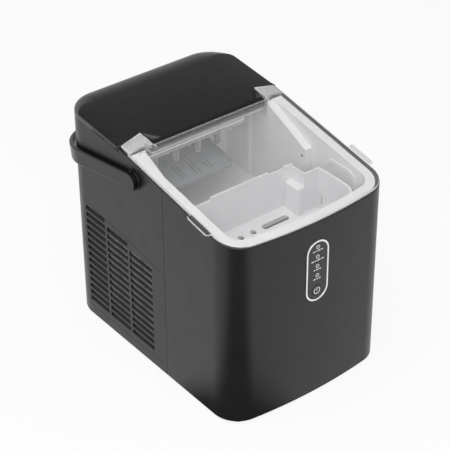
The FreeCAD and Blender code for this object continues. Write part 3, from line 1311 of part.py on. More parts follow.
def make_refrigerant_lines():
    x, y = DISCHARGE_PORT
    radius, bend, turn_z, rear_y = DISCHARGE_LINE
    discharge = bent_tube([
        V(x, y, PORT_Z[1]),
        V(x, y, turn_z),
        V(x, rear_y, turn_z),
        V(x, rear_y, LINE_TOP_Z),
    ], radius, bend)
    x, y = SUCTION_PORT
    radius, bend, turn_z, condenser_x, end_z = SUCTION_LINE
    suction = bent_tube([
        V(x, y, PORT_Z[1]),
        V(x, y, turn_z),
        V(condenser_x, y, turn_z),
        V(condenser_x, y, end_z),
    ], radius, bend)
    radius, bend, turn_z, end_x = CAPILLARY_LINE
    capillary = bent_tube([
        V(DRIER_X, DRIER_Y, DRIER_Z[1]),
        V(DRIER_X, DRIER_Y, turn_z),
        V(end_x, DRIER_Y, turn_z),
        V(end_x, DRIER_Y, LINE_TOP_Z),
    ], radius, bend)
    keep("refrigerant_lines", Part.makeCompound([discharge, suction, capillary]))


def make_insulation():
    outer_inset = RIM_INNER_INSET - LINER_WALL - FOAM_T
    inner_inset = RIM_INNER_INSET - LINER_WALL - FOAM_GAP
    shell = plan_prism(outer_inset, FOAM_LOW_Z, FOAM_TOP_Z)
    shell = shell.cut(plan_prism(inner_inset, TANK_FLOOR_Z - LINER_WALL - FOAM_GAP, TOP_Z))
    shell = shell.common(box(-WIDTH, WIDTH, -HALF_D, FIN_Y - 2, 0, TOP_Z))
    half_w, half_h, depth = FOAM_WINDOW
    shell = shell.cut(box(PILL_X - half_w, PILL_X + half_w, -HALF_D, -HALF_D + depth,
                          PILL_Z - half_h, PILL_Z + half_h))
    shell = shell.cut(rod(FOAM_DRAIN_R, V(DRAIN_X, DRAIN_Y, 0), V(DRAIN_X, DRAIN_Y, TANK_FLOOR_Z)))
    shell = shell.cut(rod(FOAM_HOSE_R, V(PUMP_X, INLET_RISE_Y, 0), V(PUMP_X, INLET_RISE_Y, TANK_FLOOR_Z)))
    keep("foam_insulation", shell)


def make_gland_and_screws():
    def at(x, y, z):
        return V(x, HALF_D + y, z)

    gland = fuse([
        rod(GLAND_R, at(GLAND_X, -GLAND_DEPTH, GLAND_Z), at(GLAND_X, OVERLAP, GLAND_Z)),
        rod(GLAND_HEAD_R, at(GLAND_X, HOLE_ROOM, GLAND_Z), at(GLAND_X, GLAND_HEAD_T, GLAND_Z)),
    ])
    keep("cord_gland", gland.cut(rod(GLAND_BORE_R, at(GLAND_X, -12, GLAND_Z), at(GLAND_X, 6, GLAND_Z))))
    screws = []
    for x in (-SCREW_X, SCREW_X):
        for z in SCREW_ZS:
            head = rod(SCREW_HEAD_R, at(x, TOUCH_GAP, z), at(x, SCREW_HEAD_H, z))
            screws.append(fuse([head, rod(SCREW_R, at(x, -SCREW_L, z), at(x, OVERLAP, z))]))
    keep("rear_screws", Part.makeCompound(screws))


def build():
    make_front_housing()
    make_rear_housing()
    make_grille(-1, "left_grille")
    make_grille(1, "right_grille")
    make_base()
    make_feet()
    make_top_cap()
    make_lid()
    make_hinge_pins()
    make_liner()
    make_ear_wells()
    make_sensors()
    make_basket()
    make_evaporator()
    make_evaporator_cover()
    make_tray()
    make_tray_motor()
    make_shovel()
    make_handle()
    make_handle_bosses()
    make_control_ring_and_panel()
    make_lights_and_button()
    make_display_board()
    make_compressor()
    make_condenser()
    make_fan_shroud()
    make_fan_blades()
    make_boards()
    make_pump()
    make_hoses()
    make_drain()
    make_drier_and_valve()
    make_refrigerant_lines()
    make_insulation()
    make_gland_and_screws()


build()
os.makedirs("parts", exist_ok=True)
for name, shape in NODES.items():
    size = shape.BoundBox
    print(f"{name}: {len(shape.Solids)} solids, valid {shape.isValid()}, {shape.Volume / 1000:.1f} cm3, "
          f"x {size.XMin:.1f}..{size.XMax:.1f} y {size.YMin:.1f}..{size.YMax:.1f} "
          f"z {size.ZMin:.1f}..{size.ZMax:.1f}")
    shape.exportStep(f"parts/{name}.step")
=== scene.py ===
"""Countertop ice maker: the looks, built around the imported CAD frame. Metres, +Z up, -Y is the front.

Sizes are given in millimetres where they are named, and turned into metres with MM where they are used.
"""
import bmesh
import bpy
import json
import math
from mathutils import Matrix, Vector


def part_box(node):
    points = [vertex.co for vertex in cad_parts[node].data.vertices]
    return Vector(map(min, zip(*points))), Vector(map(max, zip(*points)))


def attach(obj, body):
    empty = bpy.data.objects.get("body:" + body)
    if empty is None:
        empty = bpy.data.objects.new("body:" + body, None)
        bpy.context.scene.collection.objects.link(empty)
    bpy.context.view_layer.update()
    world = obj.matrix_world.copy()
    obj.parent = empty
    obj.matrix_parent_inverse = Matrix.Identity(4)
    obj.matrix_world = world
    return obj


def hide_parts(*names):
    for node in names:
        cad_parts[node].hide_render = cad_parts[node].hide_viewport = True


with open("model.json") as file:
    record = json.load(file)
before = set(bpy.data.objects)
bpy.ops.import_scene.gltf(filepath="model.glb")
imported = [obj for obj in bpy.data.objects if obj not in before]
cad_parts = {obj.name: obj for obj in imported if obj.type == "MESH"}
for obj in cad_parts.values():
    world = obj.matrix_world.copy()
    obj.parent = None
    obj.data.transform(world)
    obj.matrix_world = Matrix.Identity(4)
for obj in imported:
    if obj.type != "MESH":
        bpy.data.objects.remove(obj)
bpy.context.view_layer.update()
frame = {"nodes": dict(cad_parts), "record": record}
scene = bpy.context.scene
NODES = frame["nodes"]
RECORD = frame["record"]
BODY_OF = {node: body for body, names in RECORD["behaviour"]["bodies"].items() for node in names}
SLOT_OF = {part["node"]: part["material_slot"] for part in RECORD["subparts"]}
MM = 0.001
Z_AXIS = Vector((0, 0, 1))


# ---- shader helpers ----
NOISE_SPAN = (0.3, 0.7)
TONE_STOPS = (0.32, 0.68)


def new_material(name):
    mat = bpy.data.materials.new(name)
    mat.use_nodes = True
    return mat, mat.node_tree, mat.node_tree.nodes["Principled BSDF"]


def add(tree, kind, settings=(), **values):
    """A shader node with its constants set on its own sockets."""
    made = tree.nodes.new("ShaderNode" + kind)
    for key, value in dict(settings).items():
        setattr(made, key, value)
    for key, value in values.items():
        made.inputs[key.replace("_", " ")].default_value = value
    return made


def noise(tree, coords, size, detail=3.0, rough=0.55, stretch=None):
    """Noise whose features are about size across, read in the object's own coordinates."""
    made = add(tree, "TexNoise", Scale=1 / (size * MM), Detail=detail, Roughness=rough)
    source = coords.outputs["Object"]
    if stretch:
        mapping = add(tree, "Mapping", Scale=stretch)
        tree.links.new(source, mapping.inputs["Vector"])
        source = mapping.outputs["Vector"]
    tree.links.new(source, made.inputs["Vector"])
    return made.outputs["Fac"]


def ranged(tree, value, low, high):
    """Noise spread over a range of values."""
    made = add(tree, "MapRange", From_Min=NOISE_SPAN[0], From_Max=NOISE_SPAN[1], To_Min=low, To_Max=high)
    tree.links.new(value, made.inputs["Value"])
    return made.outputs["Result"]


def two_tone(tree, factor, dark, light):
    """Noise spread between two colours."""
    ramp = add(tree, "ValToRGB")
    for element, position, colour in zip(ramp.color_ramp.elements, TONE_STOPS, (dark, light)):
        element.position = position
        element.color = (*colour, 1)
    tree.links.new(factor, ramp.inputs["Fac"])
    return ramp.outputs["Color"]


def grey_ramp(tree, factor, stops):
    """A ramp of greys through (position, level) stops, in order."""
    ramp = add(tree, "ValToRGB")
    elements = ramp.color_ramp.elements
    for element, (position, level) in zip(elements, (stops[0], stops[-1])):
        element.position = position
        element.color = (level, level, level, 1)
    for position, level in stops[1:-1]:
        elements.new(position).color = (level, level, level, 1)
    tree.links.new(factor, ramp.inputs["Fac"])
    return ramp.outputs["Color"]


def relief(tree, shader, height, strength, depth):
    """Lets a height pattern disturb the surface."""
    bump = add(tree, "Bump", Strength=strength, Distance=depth * MM)
    tree.links.new(height, bump.inputs["Height"])
    tree.links.new(bump.outputs["Normal"], shader.inputs["Normal"])


# ---- solid finishes ----
# Detail and roughness of the noise behind the colour, the gloss and the relief.
COLOUR_NOISE = (4.0, 0.6)
GLOSS_NOISE = (5.0, 0.65)
RELIEF_NOISE = (2.0, 0.5)
GLOSS_PATCH_SHARE = 0.6
RELIEF_STRENGTH = 0.6


def finish_of(name, colour, rough, spread=0.05, tone=0.1, grain=0.7, depth=0.012, patch=28.0,
              stretch=None, other=None, **principled):
    """A surface with fine relief, uneven gloss and a slightly uneven colour.

    The gloss varies by spread and the colour by tone, or from the colour's darker tone to the other
    colour, in patches. The relief has its own grain size and depth.
    """
    mat, tree, shader = new_material(name)
    coords = add(tree, "TexCoord")
    dark = tuple(c * (1 - tone) for c in colour)
    light = other or tuple(min(1.0, c * (1 + tone)) for c in colour)
    patches = noise(tree, coords, patch, *COLOUR_NOISE, stretch)
    tree.links.new(two_tone(tree, patches, dark, light), shader.inputs["Base Color"])
    wear = noise(tree, coords, patch * GLOSS_PATCH_SHARE, *GLOSS_NOISE, stretch)
    tree.links.new(ranged(tree, wear, rough - spread, rough + spread), shader.inputs["Roughness"])
    relief(tree, shader, noise(tree, coords, grain, *RELIEF_NOISE, stretch), RELIEF_STRENGTH, depth)
    for key, value in principled.items():
        shader.inputs[key.replace("_", " ")].default_value = value
    return mat


SOLID_FINISHES = {
    "casing_black": dict(colour=(0.0080, 0.0080, 0.0078), rough=0.36, tone=0.12, grain=0.55, depth=0.014,
                         Specular_IOR_Level=0.38),
    "base_black": dict(colour=(0.011, 0.011, 0.011), rough=0.55, grain=0.8, depth=0.03),
    "foot_rubber": dict(colour=(0.016, 0.016, 0.016), rough=0.7, tone=0.2, grain=0.5, depth=0.03),
    "cap_black": dict(colour=(0.0075, 0.0075, 0.0075), rough=0.27, spread=0.03, grain=0.5, depth=0.003),
    "steel": dict(colour=(0.52, 0.52, 0.53), rough=0.26, tone=0.15, grain=0.3,
                  stretch=(1.0, 1.0, 0.12), Metallic=1.0),
    "liner_white": dict(colour=(0.83, 0.83, 0.84), rough=0.34, tone=0.025, grain=1.2, depth=0.01),
    "sensor_black": dict(colour=(0.02, 0.016, 0.018), rough=0.18, grain=0.6, depth=0.004, patch=6.0),
    "basket_white": dict(colour=(0.80, 0.80, 0.81), rough=0.38, tone=0.025, grain=1.0, depth=0.012),
    "nickel_plate": dict(colour=(0.72, 0.70, 0.67), rough=0.12, tone=0.08, grain=1.5, depth=0.01,
                         patch=9.0, Metallic=1.0),
    "tray_grey": dict(colour=(0.30, 0.31, 0.32), rough=0.42, tone=0.04, grain=0.9, depth=0.015),
    # Painted shade: a dark grey for the sides of the tray's ribs, where the grooves' shade would fall.
    "tray_rib_painted_shade": dict(colour=(0.09, 0.09, 0.095), rough=0.5, tone=0.08, grain=0.9, depth=0.015),
    "motor_steel": dict(colour=(0.50, 0.50, 0.48), rough=0.34, tone=0.14, grain=0.5, patch=12.0,
                        Metallic=1.0),
    "handle_black": dict(colour=(0.005, 0.005, 0.005), rough=0.25, grain=0.6, depth=0.01,
                         Specular_IOR_Level=0.34),
    "ring_silver": dict(colour=(0.82, 0.82, 0.82), rough=0.2, tone=0.05, grain=0.4, depth=0.004,
                        patch=8.0, Metallic=0.85),
    "panel_black": dict(colour=(0.012, 0.012, 0.0125), rough=0.16, spread=0.03, grain=0.9, depth=0.004,
                        patch=14.0),
    "lens_white": dict(colour=(0.10, 0.10, 0.10), rough=0.25, tone=0.15, grain=0.5, depth=0.01, patch=2.0),
    "mark_white": dict(colour=(0.60, 0.60, 0.60), rough=0.5, tone=0.08, grain=0.4, depth=0.01, patch=1.5),
    "compressor_black": dict(colour=(0.012, 0.012, 0.013), rough=0.3, tone=0.2, grain=1.6, depth=0.05,
                             Coat_Weight=0.4),
    "fin_aluminium": dict(colour=(0.62, 0.63, 0.64), rough=0.3, tone=0.12, grain=0.4, patch=10.0,
                          Metallic=1.0),
    "fan_plastic": dict(colour=(0.05, 0.05, 0.052), rough=0.45, grain=0.8, depth=0.02),
    "hose_silicone": dict(colour=(0.66, 0.66, 0.62), rough=0.4, tone=0.06, grain=1.0, depth=0.02,
                          patch=10.0, Subsurface_Weight=0.2),
    "copper": dict(colour=(0.58, 0.24, 0.12), other=(0.72, 0.36, 0.2), rough=0.27, tone=0.25, grain=0.6,
                   patch=12.0, Metallic=1.0),
    "foam_white": dict(colour=(0.72, 0.72, 0.69), rough=0.85, tone=0.06, grain=2.6, depth=0.5),
}


# ---- clear finishes ----
CLEAR_COLOUR_PATCH = 24.0
CLEAR_DARK_SHARE = 0.93
CLEAR_GLOSS_PATCH = 15.0
CLEAR_GLOSS_DETAIL = 4.0
CLEAR_GLOSS_SHARES = (0.6, 1.5)
CLEAR_WAVE = 9.0
CLEAR_WAVE_DEPTH = 0.02
CLEAR_WAVE_STRENGTH = 0.5
CLEAR_TINT = (0.985, 0.985, 0.985, 1)
GRAZING_POWER = 3.0


def see_through(name, colour, rough, least, most):
    """Clear plastic: its gloss covers the least share seen square on, and the most at a glancing angle."""
    mat, tree, shader = new_material(name)
    coords = add(tree, "TexCoord")
    dark = tuple(c * CLEAR_DARK_SHARE for c in colour)
    patches = noise(tree, coords, CLEAR_COLOUR_PATCH)
    tree.links.new(two_tone(tree, patches, dark, colour), shader.inputs["Base Color"])
    wear = noise(tree, coords, CLEAR_GLOSS_PATCH, CLEAR_GLOSS_DETAIL)
    low, high = (rough * share for share in CLEAR_GLOSS_SHARES)
    tree.links.new(ranged(tree, wear, low, high), shader.inputs["Roughness"])
    relief(tree, shader, noise(tree, coords, CLEAR_WAVE), CLEAR_WAVE_STRENGTH, CLEAR_WAVE_DEPTH)
    edge_on = add(tree, "LayerWeight", Blend=0.5)
    grazing = add(tree, "Math", {"operation": "POWER"})
    grazing.inputs[1].default_value = GRAZING_POWER
    tree.links.new(edge_on.outputs["Facing"], grazing.inputs[0])
    share = add(tree, "MapRange", From_Min=0.0, From_Max=1.0, To_Min=least, To_Max=most)
    tree.links.new(grazing.outputs["Value"], share.inputs["Value"])
    clear = add(tree, "BsdfTransparent", Color=CLEAR_TINT)
    mix = add(tree, "MixShader")
    tree.links.new(share.outputs["Result"], mix.inputs["Fac"])
    tree.links.new(clear.outputs["BSDF"], mix.inputs[1])
    tree.links.new(shader.outputs["BSDF"], mix.inputs[2])
    tree.links.new(mix.outputs["Shader"], tree.nodes["Material Output"].inputs["Surface"])
    return mat


CLEAR_FINISHES = {
    "clear_plastic": dict(colour=(0.86, 0.87, 0.88), rough=0.07, least=0.05, most=0.75),
    # The edge finish is a painted highlight: a whiter, more opaque band along the lid's top edges, for the
    # glints on the clear edges.
    "clear_edge_painted_highlight": dict(colour=(0.92, 0.92, 0.93), rough=0.1, least=0.55, most=0.9),
    # The ear finish is painted light: whiter and more opaque than the lid, for the lit well seen through
    # the ears.
    "clear_ear_painted_light": dict(colour=(0.95, 0.95, 0.96), rough=0.12, least=0.32, most=0.8),
    "clear_tab": dict(colour=(0.16, 0.16, 0.16), rough=0.12, least=0.18, most=0.6),
}


# ---- circuit board finish ----
BOARD_COLOURS = {"Color1": (0.012, 0.085, 0.03, 1), "Color2": (0.018, 0.11, 0.04, 1),
                 "Mortar": (0.12, 0.22, 0.07, 1)}
BOARD_TRACK_SCALE = 90.0
BOARD_TRACK_WIDTH = 0.012
BOARD_GLOSS_PATCH = 8.0
BOARD_GLOSS = (0.28, 0.45)
BOARD_TRACK_DEPTH = 0.05
BOARD_TRACK_STRENGTH = 0.5


def board_finish(name):
    """A green circuit board with paler tracks."""
    mat, tree, shader = new_material(name)
    coords = add(tree, "TexCoord")
    tracks = add(tree, "TexBrick", Scale=BOARD_TRACK_SCALE, Mortar_Size=BOARD_TRACK_WIDTH, **BOARD_COLOURS)
    tree.links.new(coords.outputs["Object"], tracks.inputs["Vector"])
    tree.links.new(tracks.outputs["Color"], shader.inputs["Base Color"])
    gloss = ranged(tree, noise(tree, coords, BOARD_GLOSS_PATCH), *BOARD_GLOSS)
    tree.links.new(gloss, shader.inputs["Roughness"])
    relief(tree, shader, tracks.outputs["Fac"], BOARD_TRACK_STRENGTH, BOARD_TRACK_DEPTH)
    return mat


MATERIALS = {name: finish_of(name, **look) for name, look in SOLID_FINISHES.items()}
MATERIALS.update((name, see_through(name, **look)) for name, look in CLEAR_FINISHES.items())
MATERIALS["circuit_board"] = board_finish("circuit_board")


# ---- pieces ----
ROUND_ANGLE = math.radians(32)
CAD_WELD = 0.001
UPWARD_RISE = 0.9
UPRIGHT_RISE = 0.3


def place(piece, node):
    """Lets a finished piece stand for its CAD node."""
    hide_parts(node)
    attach(piece, BODY_OF[node])


def new_piece(name, mesh, *finishes):
    piece = bpy.data.objects.new(name, mesh)
    scene.collection.objects.link(piece)
    mesh.materials.clear()
    for finish in finishes:
        mesh.materials.append(MATERIALS[finish])
    return piece


def top_edge(edge):
    """Whether an edge joins an upward face to an upright one."""
    rises = sorted(abs(face.normal.z) for face in edge.link_faces)
    upward = any(face.normal.z > UPWARD_RISE for face in edge.link_faces)
    return len(rises) == 2 and rises[0] < UPRIGHT_RISE and upward


def rounds(piece, name, width, segments, limit):
    """Rounds on the edges of a piece that a limit method picks."""
    bevel = piece.modifiers.new(name, "BEVEL")
    bevel.width = width * MM
    bevel.segments = segments
    bevel.limit_method = limit
    bevel.use_clamp_overlap = False
    bevel.harden_normals = True
    bevel.miter_outer = "MITER_ARC"
    return bevel


def softened(node, width, segments=2, painted_line_finish=None, painted_line_width=0.0, area_finishes=()):
    """A copy of a CAD node with small rounds moulded onto its sharp edges.

    The line finish, a painted highlight, goes on its top edges. Each area finish comes with a test of a
    face.
    """
    mesh = NODES[node].data.copy()
    mesh.name = node + "_soft"
    finishes = [SLOT_OF[node]] + [finish for finish, _ in area_finishes]
    if painted_line_finish:
        finishes.append(painted_line_finish)
    piece = new_piece(node + "_visual", mesh, *finishes)
    shape = bmesh.new()
    shape.from_mesh(mesh)
    bmesh.ops.remove_doubles(shape, verts=shape.verts, dist=CAD_WELD * MM)
    for face in shape.faces:
        face.smooth = True
        face.material_index = 0
        for index, (_, chosen) in enumerate(area_finishes, 1):
            if chosen(face):
                face.material_index = index
    if painted_line_finish:
        weight = shape.edges.layers.float.new("bevel_weight_edge")
        for edge in shape.edges:
            edge[weight] = float(top_edge(edge))
    shape.to_mesh(mesh)
    shape.free()
    if mesh.attributes.get("custom_normal"):
        mesh.attributes.remove(mesh.attributes["custom_normal"])
    if painted_line_finish:
        rounds(piece, "painted_highlight_line", painted_line_width, segments, "WEIGHT").material = len(finishes) - 1
    rounds(piece, "rounds", width, segments, "ANGLE").angle_limit = ROUND_ANGLE
    place(piece, node)


def finished_mesh(name, shape, smooth=True):
    bmesh.ops.recalc_face_normals(shape, faces=shape.faces)
    for face in shape.faces:
        face.smooth = smooth
    mesh = bpy.data.meshes.new(name)
    shape.to_mesh(mesh)
    shape.free()
    return mesh


def arc(centre, radius, start, end, steps):
    """Points on a circle between two angles in degrees."""
    angles = [math.radians(start + (end - start) * step / steps) for step in range(steps + 1)]
    return [(centre[0] + radius * math.cos(a), centre[1] + radius * math.sin(a)) for a in angles]


def straight(start, end, steps):
    """Points between two ends, without the ends."""
    return [(start[0] + (end[0] - start[0]) * step / steps, start[1] + (end[1] - start[1]) * step / steps)
            for step in range(1, steps)]


# ---- top cap: small rolls at the notches and sides, a wider one in front, a generous one at the back ----
CAP_SIDE_ROLL = 2.4
CAP_BACK_ROLL = 27.0
CAP_NOTCH_ROLL = 0.9
CAP_FRONT_ROLL = 5.0
CAP_TALLEST_ROLL = 6.4
CAP_CORNER_R = 38.0
CAP_SKIRT = 7.0
CAP_LIP = 11.5
CAP_SHELL = 1.8
CAP_BACK_Z = 285.9
CAP_RISE = 11.6 / 128.3
TONGUE_ENDS = (-76.6, 85.6)
TONGUE_CORNER_R = 3.0
NOTCH_INNER_DEPTH = 24.1
NOTCH_OUTER_DEPTH = 15.1
# How finely the cap's outline and roll are divided.
TONGUE_CORNER_STEPS = 6
CROSSWISE_STEPS = 12
SIDE_STEPS = 10
BACK_CORNER_STEPS = 20
ROLL_STEPS = 10
# The roll grows over the back corner, and is whole before the corner ends.
ROLL_GROWTH = 1.25
MITRE_LIMIT = 0.5


def cap_plan(half, front, back):
    """The cap's outline, counter-clockwise, each point with its roll radius and skirt depth."""
    left, right = TONGUE_ENDS
    corner_x, corner_y = half - CAP_CORNER_R, back - CAP_CORNER_R
    inner_y, outer_y = front + NOTCH_INNER_DEPTH, front + NOTCH_OUTER_DEPTH
    tongue_y = front + TONGUE_CORNER_R
    tongue = arc((left + TONGUE_CORNER_R, tongue_y), TONGUE_CORNER_R, 180, 270, TONGUE_CORNER_STEPS)
    tongue += straight(tongue[-1], (right - TONGUE_CORNER_R, front), CROSSWISE_STEPS)
    tongue += arc((right - TONGUE_CORNER_R, tongue_y), TONGUE_CORNER_R, 270, 360, TONGUE_CORNER_STEPS)
    side = straight((half, outer_y), (half, corner_y), SIDE_STEPS)
    turn = arc((corner_x, corner_y), CAP_CORNER_R, 0, 90, BACK_CORNER_STEPS)
    rear = straight((corner_x, back), (-corner_x, back), CROSSWISE_STEPS)
    rolls = []
    for step in range(len(turn)):
        t = min(1.0, step / (len(turn) - 1) * ROLL_GROWTH)
        rolls.append(CAP_SIDE_ROLL + (CAP_BACK_ROLL - CAP_SIDE_ROLL) * t * t * (3 - 2 * t))
    right_side = [(half, outer_y, CAP_NOTCH_ROLL, CAP_SKIRT)]
    right_side += [(x, y, CAP_SIDE_ROLL, CAP_SKIRT) for x, y in side]
    right_side += [(x, y, roll, CAP_SKIRT) for (x, y), roll in zip(turn, rolls)]
    points = [(x, y, CAP_FRONT_ROLL, CAP_LIP) for x, y in tongue]
    points.append((right, inner_y, CAP_NOTCH_ROLL, CAP_SKIRT))
    points += right_side
    points += [(x, y, CAP_BACK_ROLL, CAP_SKIRT) for x, y in rear]
    points += [(-x, y, roll, skirt) for x, y, roll, skirt in reversed(right_side)]
    points.append((left, inner_y, CAP_NOTCH_ROLL, CAP_SKIRT))
    return points


def inward(points, index):
    """The mitred inward direction at one point of a counter-clockwise loop."""
    here = Vector(points[index][:2])
    before = (here - Vector(points[index - 1][:2])).normalized()
    after = (Vector(points[(index + 1) % len(points)][:2]) - here).normalized()
    tangent = (before + after).normalized()
    return Vector((-tangent.y, tangent.x)) / max(MITRE_LIMIT, tangent.dot(after))


def make_cap():
    """The cap's skin: a skirt, a roll that climbs inwards from it, and a sloping top."""
    low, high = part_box("top_cap")
    half, front, back = high.x / MM, low.y / MM, high.y / MM
    points = cap_plan(half, front, back)
    rows = []
    for index, (x, y, roll, skirt) in enumerate(points):
        aside = inward(points, index)
        tall = min(roll, CAP_TALLEST_ROLL)
        edge_z = CAP_BACK_Z - (back - y) * CAP_RISE
        row = [(x, y, edge_z - skirt)]
        for step in range(ROLL_STEPS + 1):
            angle = math.pi / 2 * step / ROLL_STEPS
            inset = roll * (1 - math.cos(angle))
            at_x, at_y = x + aside.x * inset, y + aside.y * inset
            top_z = CAP_BACK_Z - (back - at_y) * CAP_RISE
            row.append((at_x, at_y, top_z - tall * (1 - math.sin(angle))))
        rows.append(row)
    shape = bmesh.new()
    grid = [[shape.verts.new(Vector(point) * MM) for point in row] for row in rows]
    for index, row in enumerate(grid):
        following = grid[(index + 1) % len(grid)]
        for level in range(len(row) - 1):
            shape.faces.new((row[level], following[level], following[level + 1], row[level + 1]))
    top = shape.faces.new([row[-1] for row in grid])
    bmesh.ops.triangulate(shape, faces=[top])
    piece = new_piece("top_cap_visual", finished_mesh("top_cap_visual", shape), "cap_black")
    shell = piece.modifiers.new("shell", "SOLIDIFY")
    shell.thickness = CAP_SHELL * MM
    shell.offset = -1
    place(piece, "top_cap")


# ---- control panel marks: rings, dashes in place of words, and a power symbol ----
LAMP_X = 1.0
LAMP_ZS = (206.0, 193.3, 180.9, 168.5)
LAMP_RING = (1.75, 2.45)
LABEL_DROP = 5.0
LABEL_H = 1.5
LABELS = ((3.0, 1.9, 4.2, 2.6), (4.4, 2.2, 5.0, 3.6), (2.2, 4.0, 2.6), (3.2, 2.4, 3.2))
LABEL_GAP = 0.9
MARK_PROUD = 0.14
LAMP_RING_PROUD = 3 * MARK_PROUD
POWER_RING = (3.5, 4.6)
POWER_OPENING = 32.0
POWER_BAR = (1.1, 5.2)
STRAIGHT_UP = 90
FULL_TURN = 360
# How finely the marks are divided, and how close two of their points may come.
HOOP_STEP = 12
HOOP_LEAST_STEPS = 8
BAR_END_STEPS = 4
MARK_WELD = 0.0001
SAME_POINT = 1e-6


def slab(shape, outline, front, back):
    """A flat mark standing on the panel: an outline of (x, z) points, between two depths in metres."""
    near = [shape.verts.new((x * MM, front, z * MM)) for x, z in outline]
    far = [shape.verts.new((x * MM, back, z * MM)) for x, z in outline]
    shape.faces.new(near)
    shape.faces.new(far[::-1])
    for index in range(len(outline)):
        after = (index + 1) % len(outline)
        shape.faces.new((near[index], far[index], far[after], near[after]))


def hoop(shape, centre, radii, start, end, front, back):
    """A round line of constant width, drawn as short slabs that share their ends."""
    steps = max(HOOP_LEAST_STEPS, round((end - start) / HOOP_STEP))
    inner = arc(centre, radii[0], start, end, steps)
    outer = arc(centre, radii[1], start, end, steps)
    for index in range(steps):
        slab(shape, [inner[index], outer[index], outer[index + 1], inner[index + 1]], front, back)
    bmesh.ops.remove_doubles(shape, verts=shape.verts, dist=MARK_WELD * MM)


def apart(one, other):
    return abs(one[0] - other[0]) + abs(one[1] - other[1]) > SAME_POINT


def bar(shape, x, z, width, height, front, back):
    """A straight line with round ends, round its centre."""
    radius = min(width, height) / 2
    half_w, half_h = width / 2 - radius, height / 2 - radius
    ends = ((half_w, half_h), (-half_w, half_h), (-half_w, -half_h), (half_w, -half_h))
    outline = []
    for quarter, (aside, up) in enumerate(ends):
        start = quarter * 90
        for point in arc((x + aside, z + up), radius, start, start + 90, BAR_END_STEPS):
            if not outline or apart(point, outline[-1]):
                outline.append(point)
    if not apart(outline[0], outline[-1]):
        outline.pop()
    slab(shape, outline, front, back)


def make_lamp_marks():
    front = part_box("control_panel")[0].y
    shape = bmesh.new()
    for z, label in zip(LAMP_ZS, LABELS):
        hoop(shape, (LAMP_X, z), LAMP_RING, 0, FULL_TURN,
             front - LAMP_RING_PROUD * MM, front + MARK_PROUD * MM)
        x = LAMP_X - (sum(label) + LABEL_GAP * (len(label) - 1)) / 2
        for width in label:
            bar(shape, x + width / 2, z - LABEL_DROP, width, LABEL_H,
                front - MARK_PROUD * MM, front + MARK_PROUD * MM)
            x += width + LABEL_GAP
    marks = new_piece("panel_marks", finished_mesh("panel_marks", shape, False), "mark_white")
    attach(marks, BODY_OF["control_panel"])


def make_power_mark():
    low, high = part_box("power_button")
    x, z = (low.x + high.x) / 2 / MM, (low.z + high.z) / 2 / MM
    front, back = low.y - MARK_PROUD * MM, low.y + MARK_PROUD * MM
    shape = bmesh.new()
    hoop(shape, (x, z), POWER_RING, STRAIGHT_UP + POWER_OPENING, STRAIGHT_UP + FULL_TURN - POWER_OPENING,
         front, back)
    bar(shape, x, z + POWER_RING[1] - POWER_BAR[1] / 2, POWER_BAR[0], POWER_BAR[1], front, back)
    symbol = new_piece("power_mark", finished_mesh("power_mark", shape, False), "mark_white")
    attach(symbol, BODY_OF["power_button"])


# ---- which parts get rounds, and which of their faces get a finish of their own ----
SOFT_EDGES = {
    "handle_bosses": 0.5, "evaporator_cover": 0.4, "control_ring": 0.3, "control_panel": 0.2,
    "power_button": 0.25, "rubber_feet": 0.5, "cord_gland": 0.4, "ice_shovel": 0.3,
}
LID_ROUNDS = 0.1
LID_SEGMENTS = 3
LID_PAINTED_LINE_WIDTH = 0.85
TRAY_ROUNDS = 0.4
EAR_Y = 24.0
TAB_X = 112.8
RIBS_X = (-40.0, 25.0)
SIDEWAYS = 0.8


def is_ear(face):
    """Whether a face of the lid belongs to the ears that reach back beside the cap."""
    return face.calc_center_median().y > EAR_Y * MM


def is_tab(face):
    """Whether a face of the lid belongs to the tabs that stick out at its sides."""
    return abs(face.calc_center_median().x) > TAB_X * MM


def is_rib_side(face):
    """Whether a face of the tray is the side of one of its ribs."""
    return abs(face.normal.x) > SIDEWAYS and RIBS_X[0] * MM < face.calc_center_median().x < RIBS_X[1] * MM


for part, width in SOFT_EDGES.items():
    softened(part, width)
# The lid's top edges get a painted highlight in a whiter band.
softened("clear_lid", LID_ROUNDS, LID_SEGMENTS, "clear_edge_painted_highlight", LID_PAINTED_LINE_WIDTH,
         # The ears get painted light, whiter than the rest of the lid.
         (("clear_ear_painted_light", is_ear), ("clear_tab", is_tab)))
# The sides of the tray's ribs get a painted shade.
softened("water_tray", TRAY_ROUNDS, area_finishes=(("tray_rib_painted_shade", is_rib_side),))
make_cap()
make_lamp_marks()
make_power_mark()

for part, source in NODES.items():
    for material_slot in source.material_slots:
        material_slot.link = "OBJECT"
        material_slot.material = MATERIALS[SLOT_OF[part]]


# ---- stage ----
FLOOR_HALF = 6.0
FLOOR_CELLS = 8
FLOOR_PAINT = (0.9, 0.9, 0.9, 1)
FLOOR_GLOW_SHARE = 0.88
# A sector of the floor is dark in reflections, which puts the dark band on the casing's front corner.
# Its stops are offsets from its bearing, in turns, with the floor's level.
DARK_BEARING = math.radians(-142)
DARK_SECTOR = ((-0.092, 1.0), (-0.048, 0.02), (0.034, 0.02), (0.080, 1.0))
# The world's level from its bottom to its top: a white band round the horizon and a dim ceiling.
WORLD_LEVELS = ((0.0, 1.0), (0.34, 1.0), (0.55, 0.36), (0.70, 0.14), (1.0, 0.35))
# Name, place, aim, side and power of each square lamp, in metres and watts.
SOFTBOXES = (("overhead", (-0.5, -0.25, 1.7), (0, 0, 0.2), 1.4, 15),
             ("front_fill", (-1.0, -1.3, 1.3), (0, -0.05, 0.2), 1.0, 12))
CAMERA_AZIMUTH = math.radians(37.975)
CAMERA_ELEVATION = math.radians(34.21)
CAMERA_ROLL = math.radians(-0.367)
CAMERA_PLACE = (-0.96688, -1.24609, 1.21732)
CAMERA_SENSOR = 36
CAMERA_LENS = 130.72


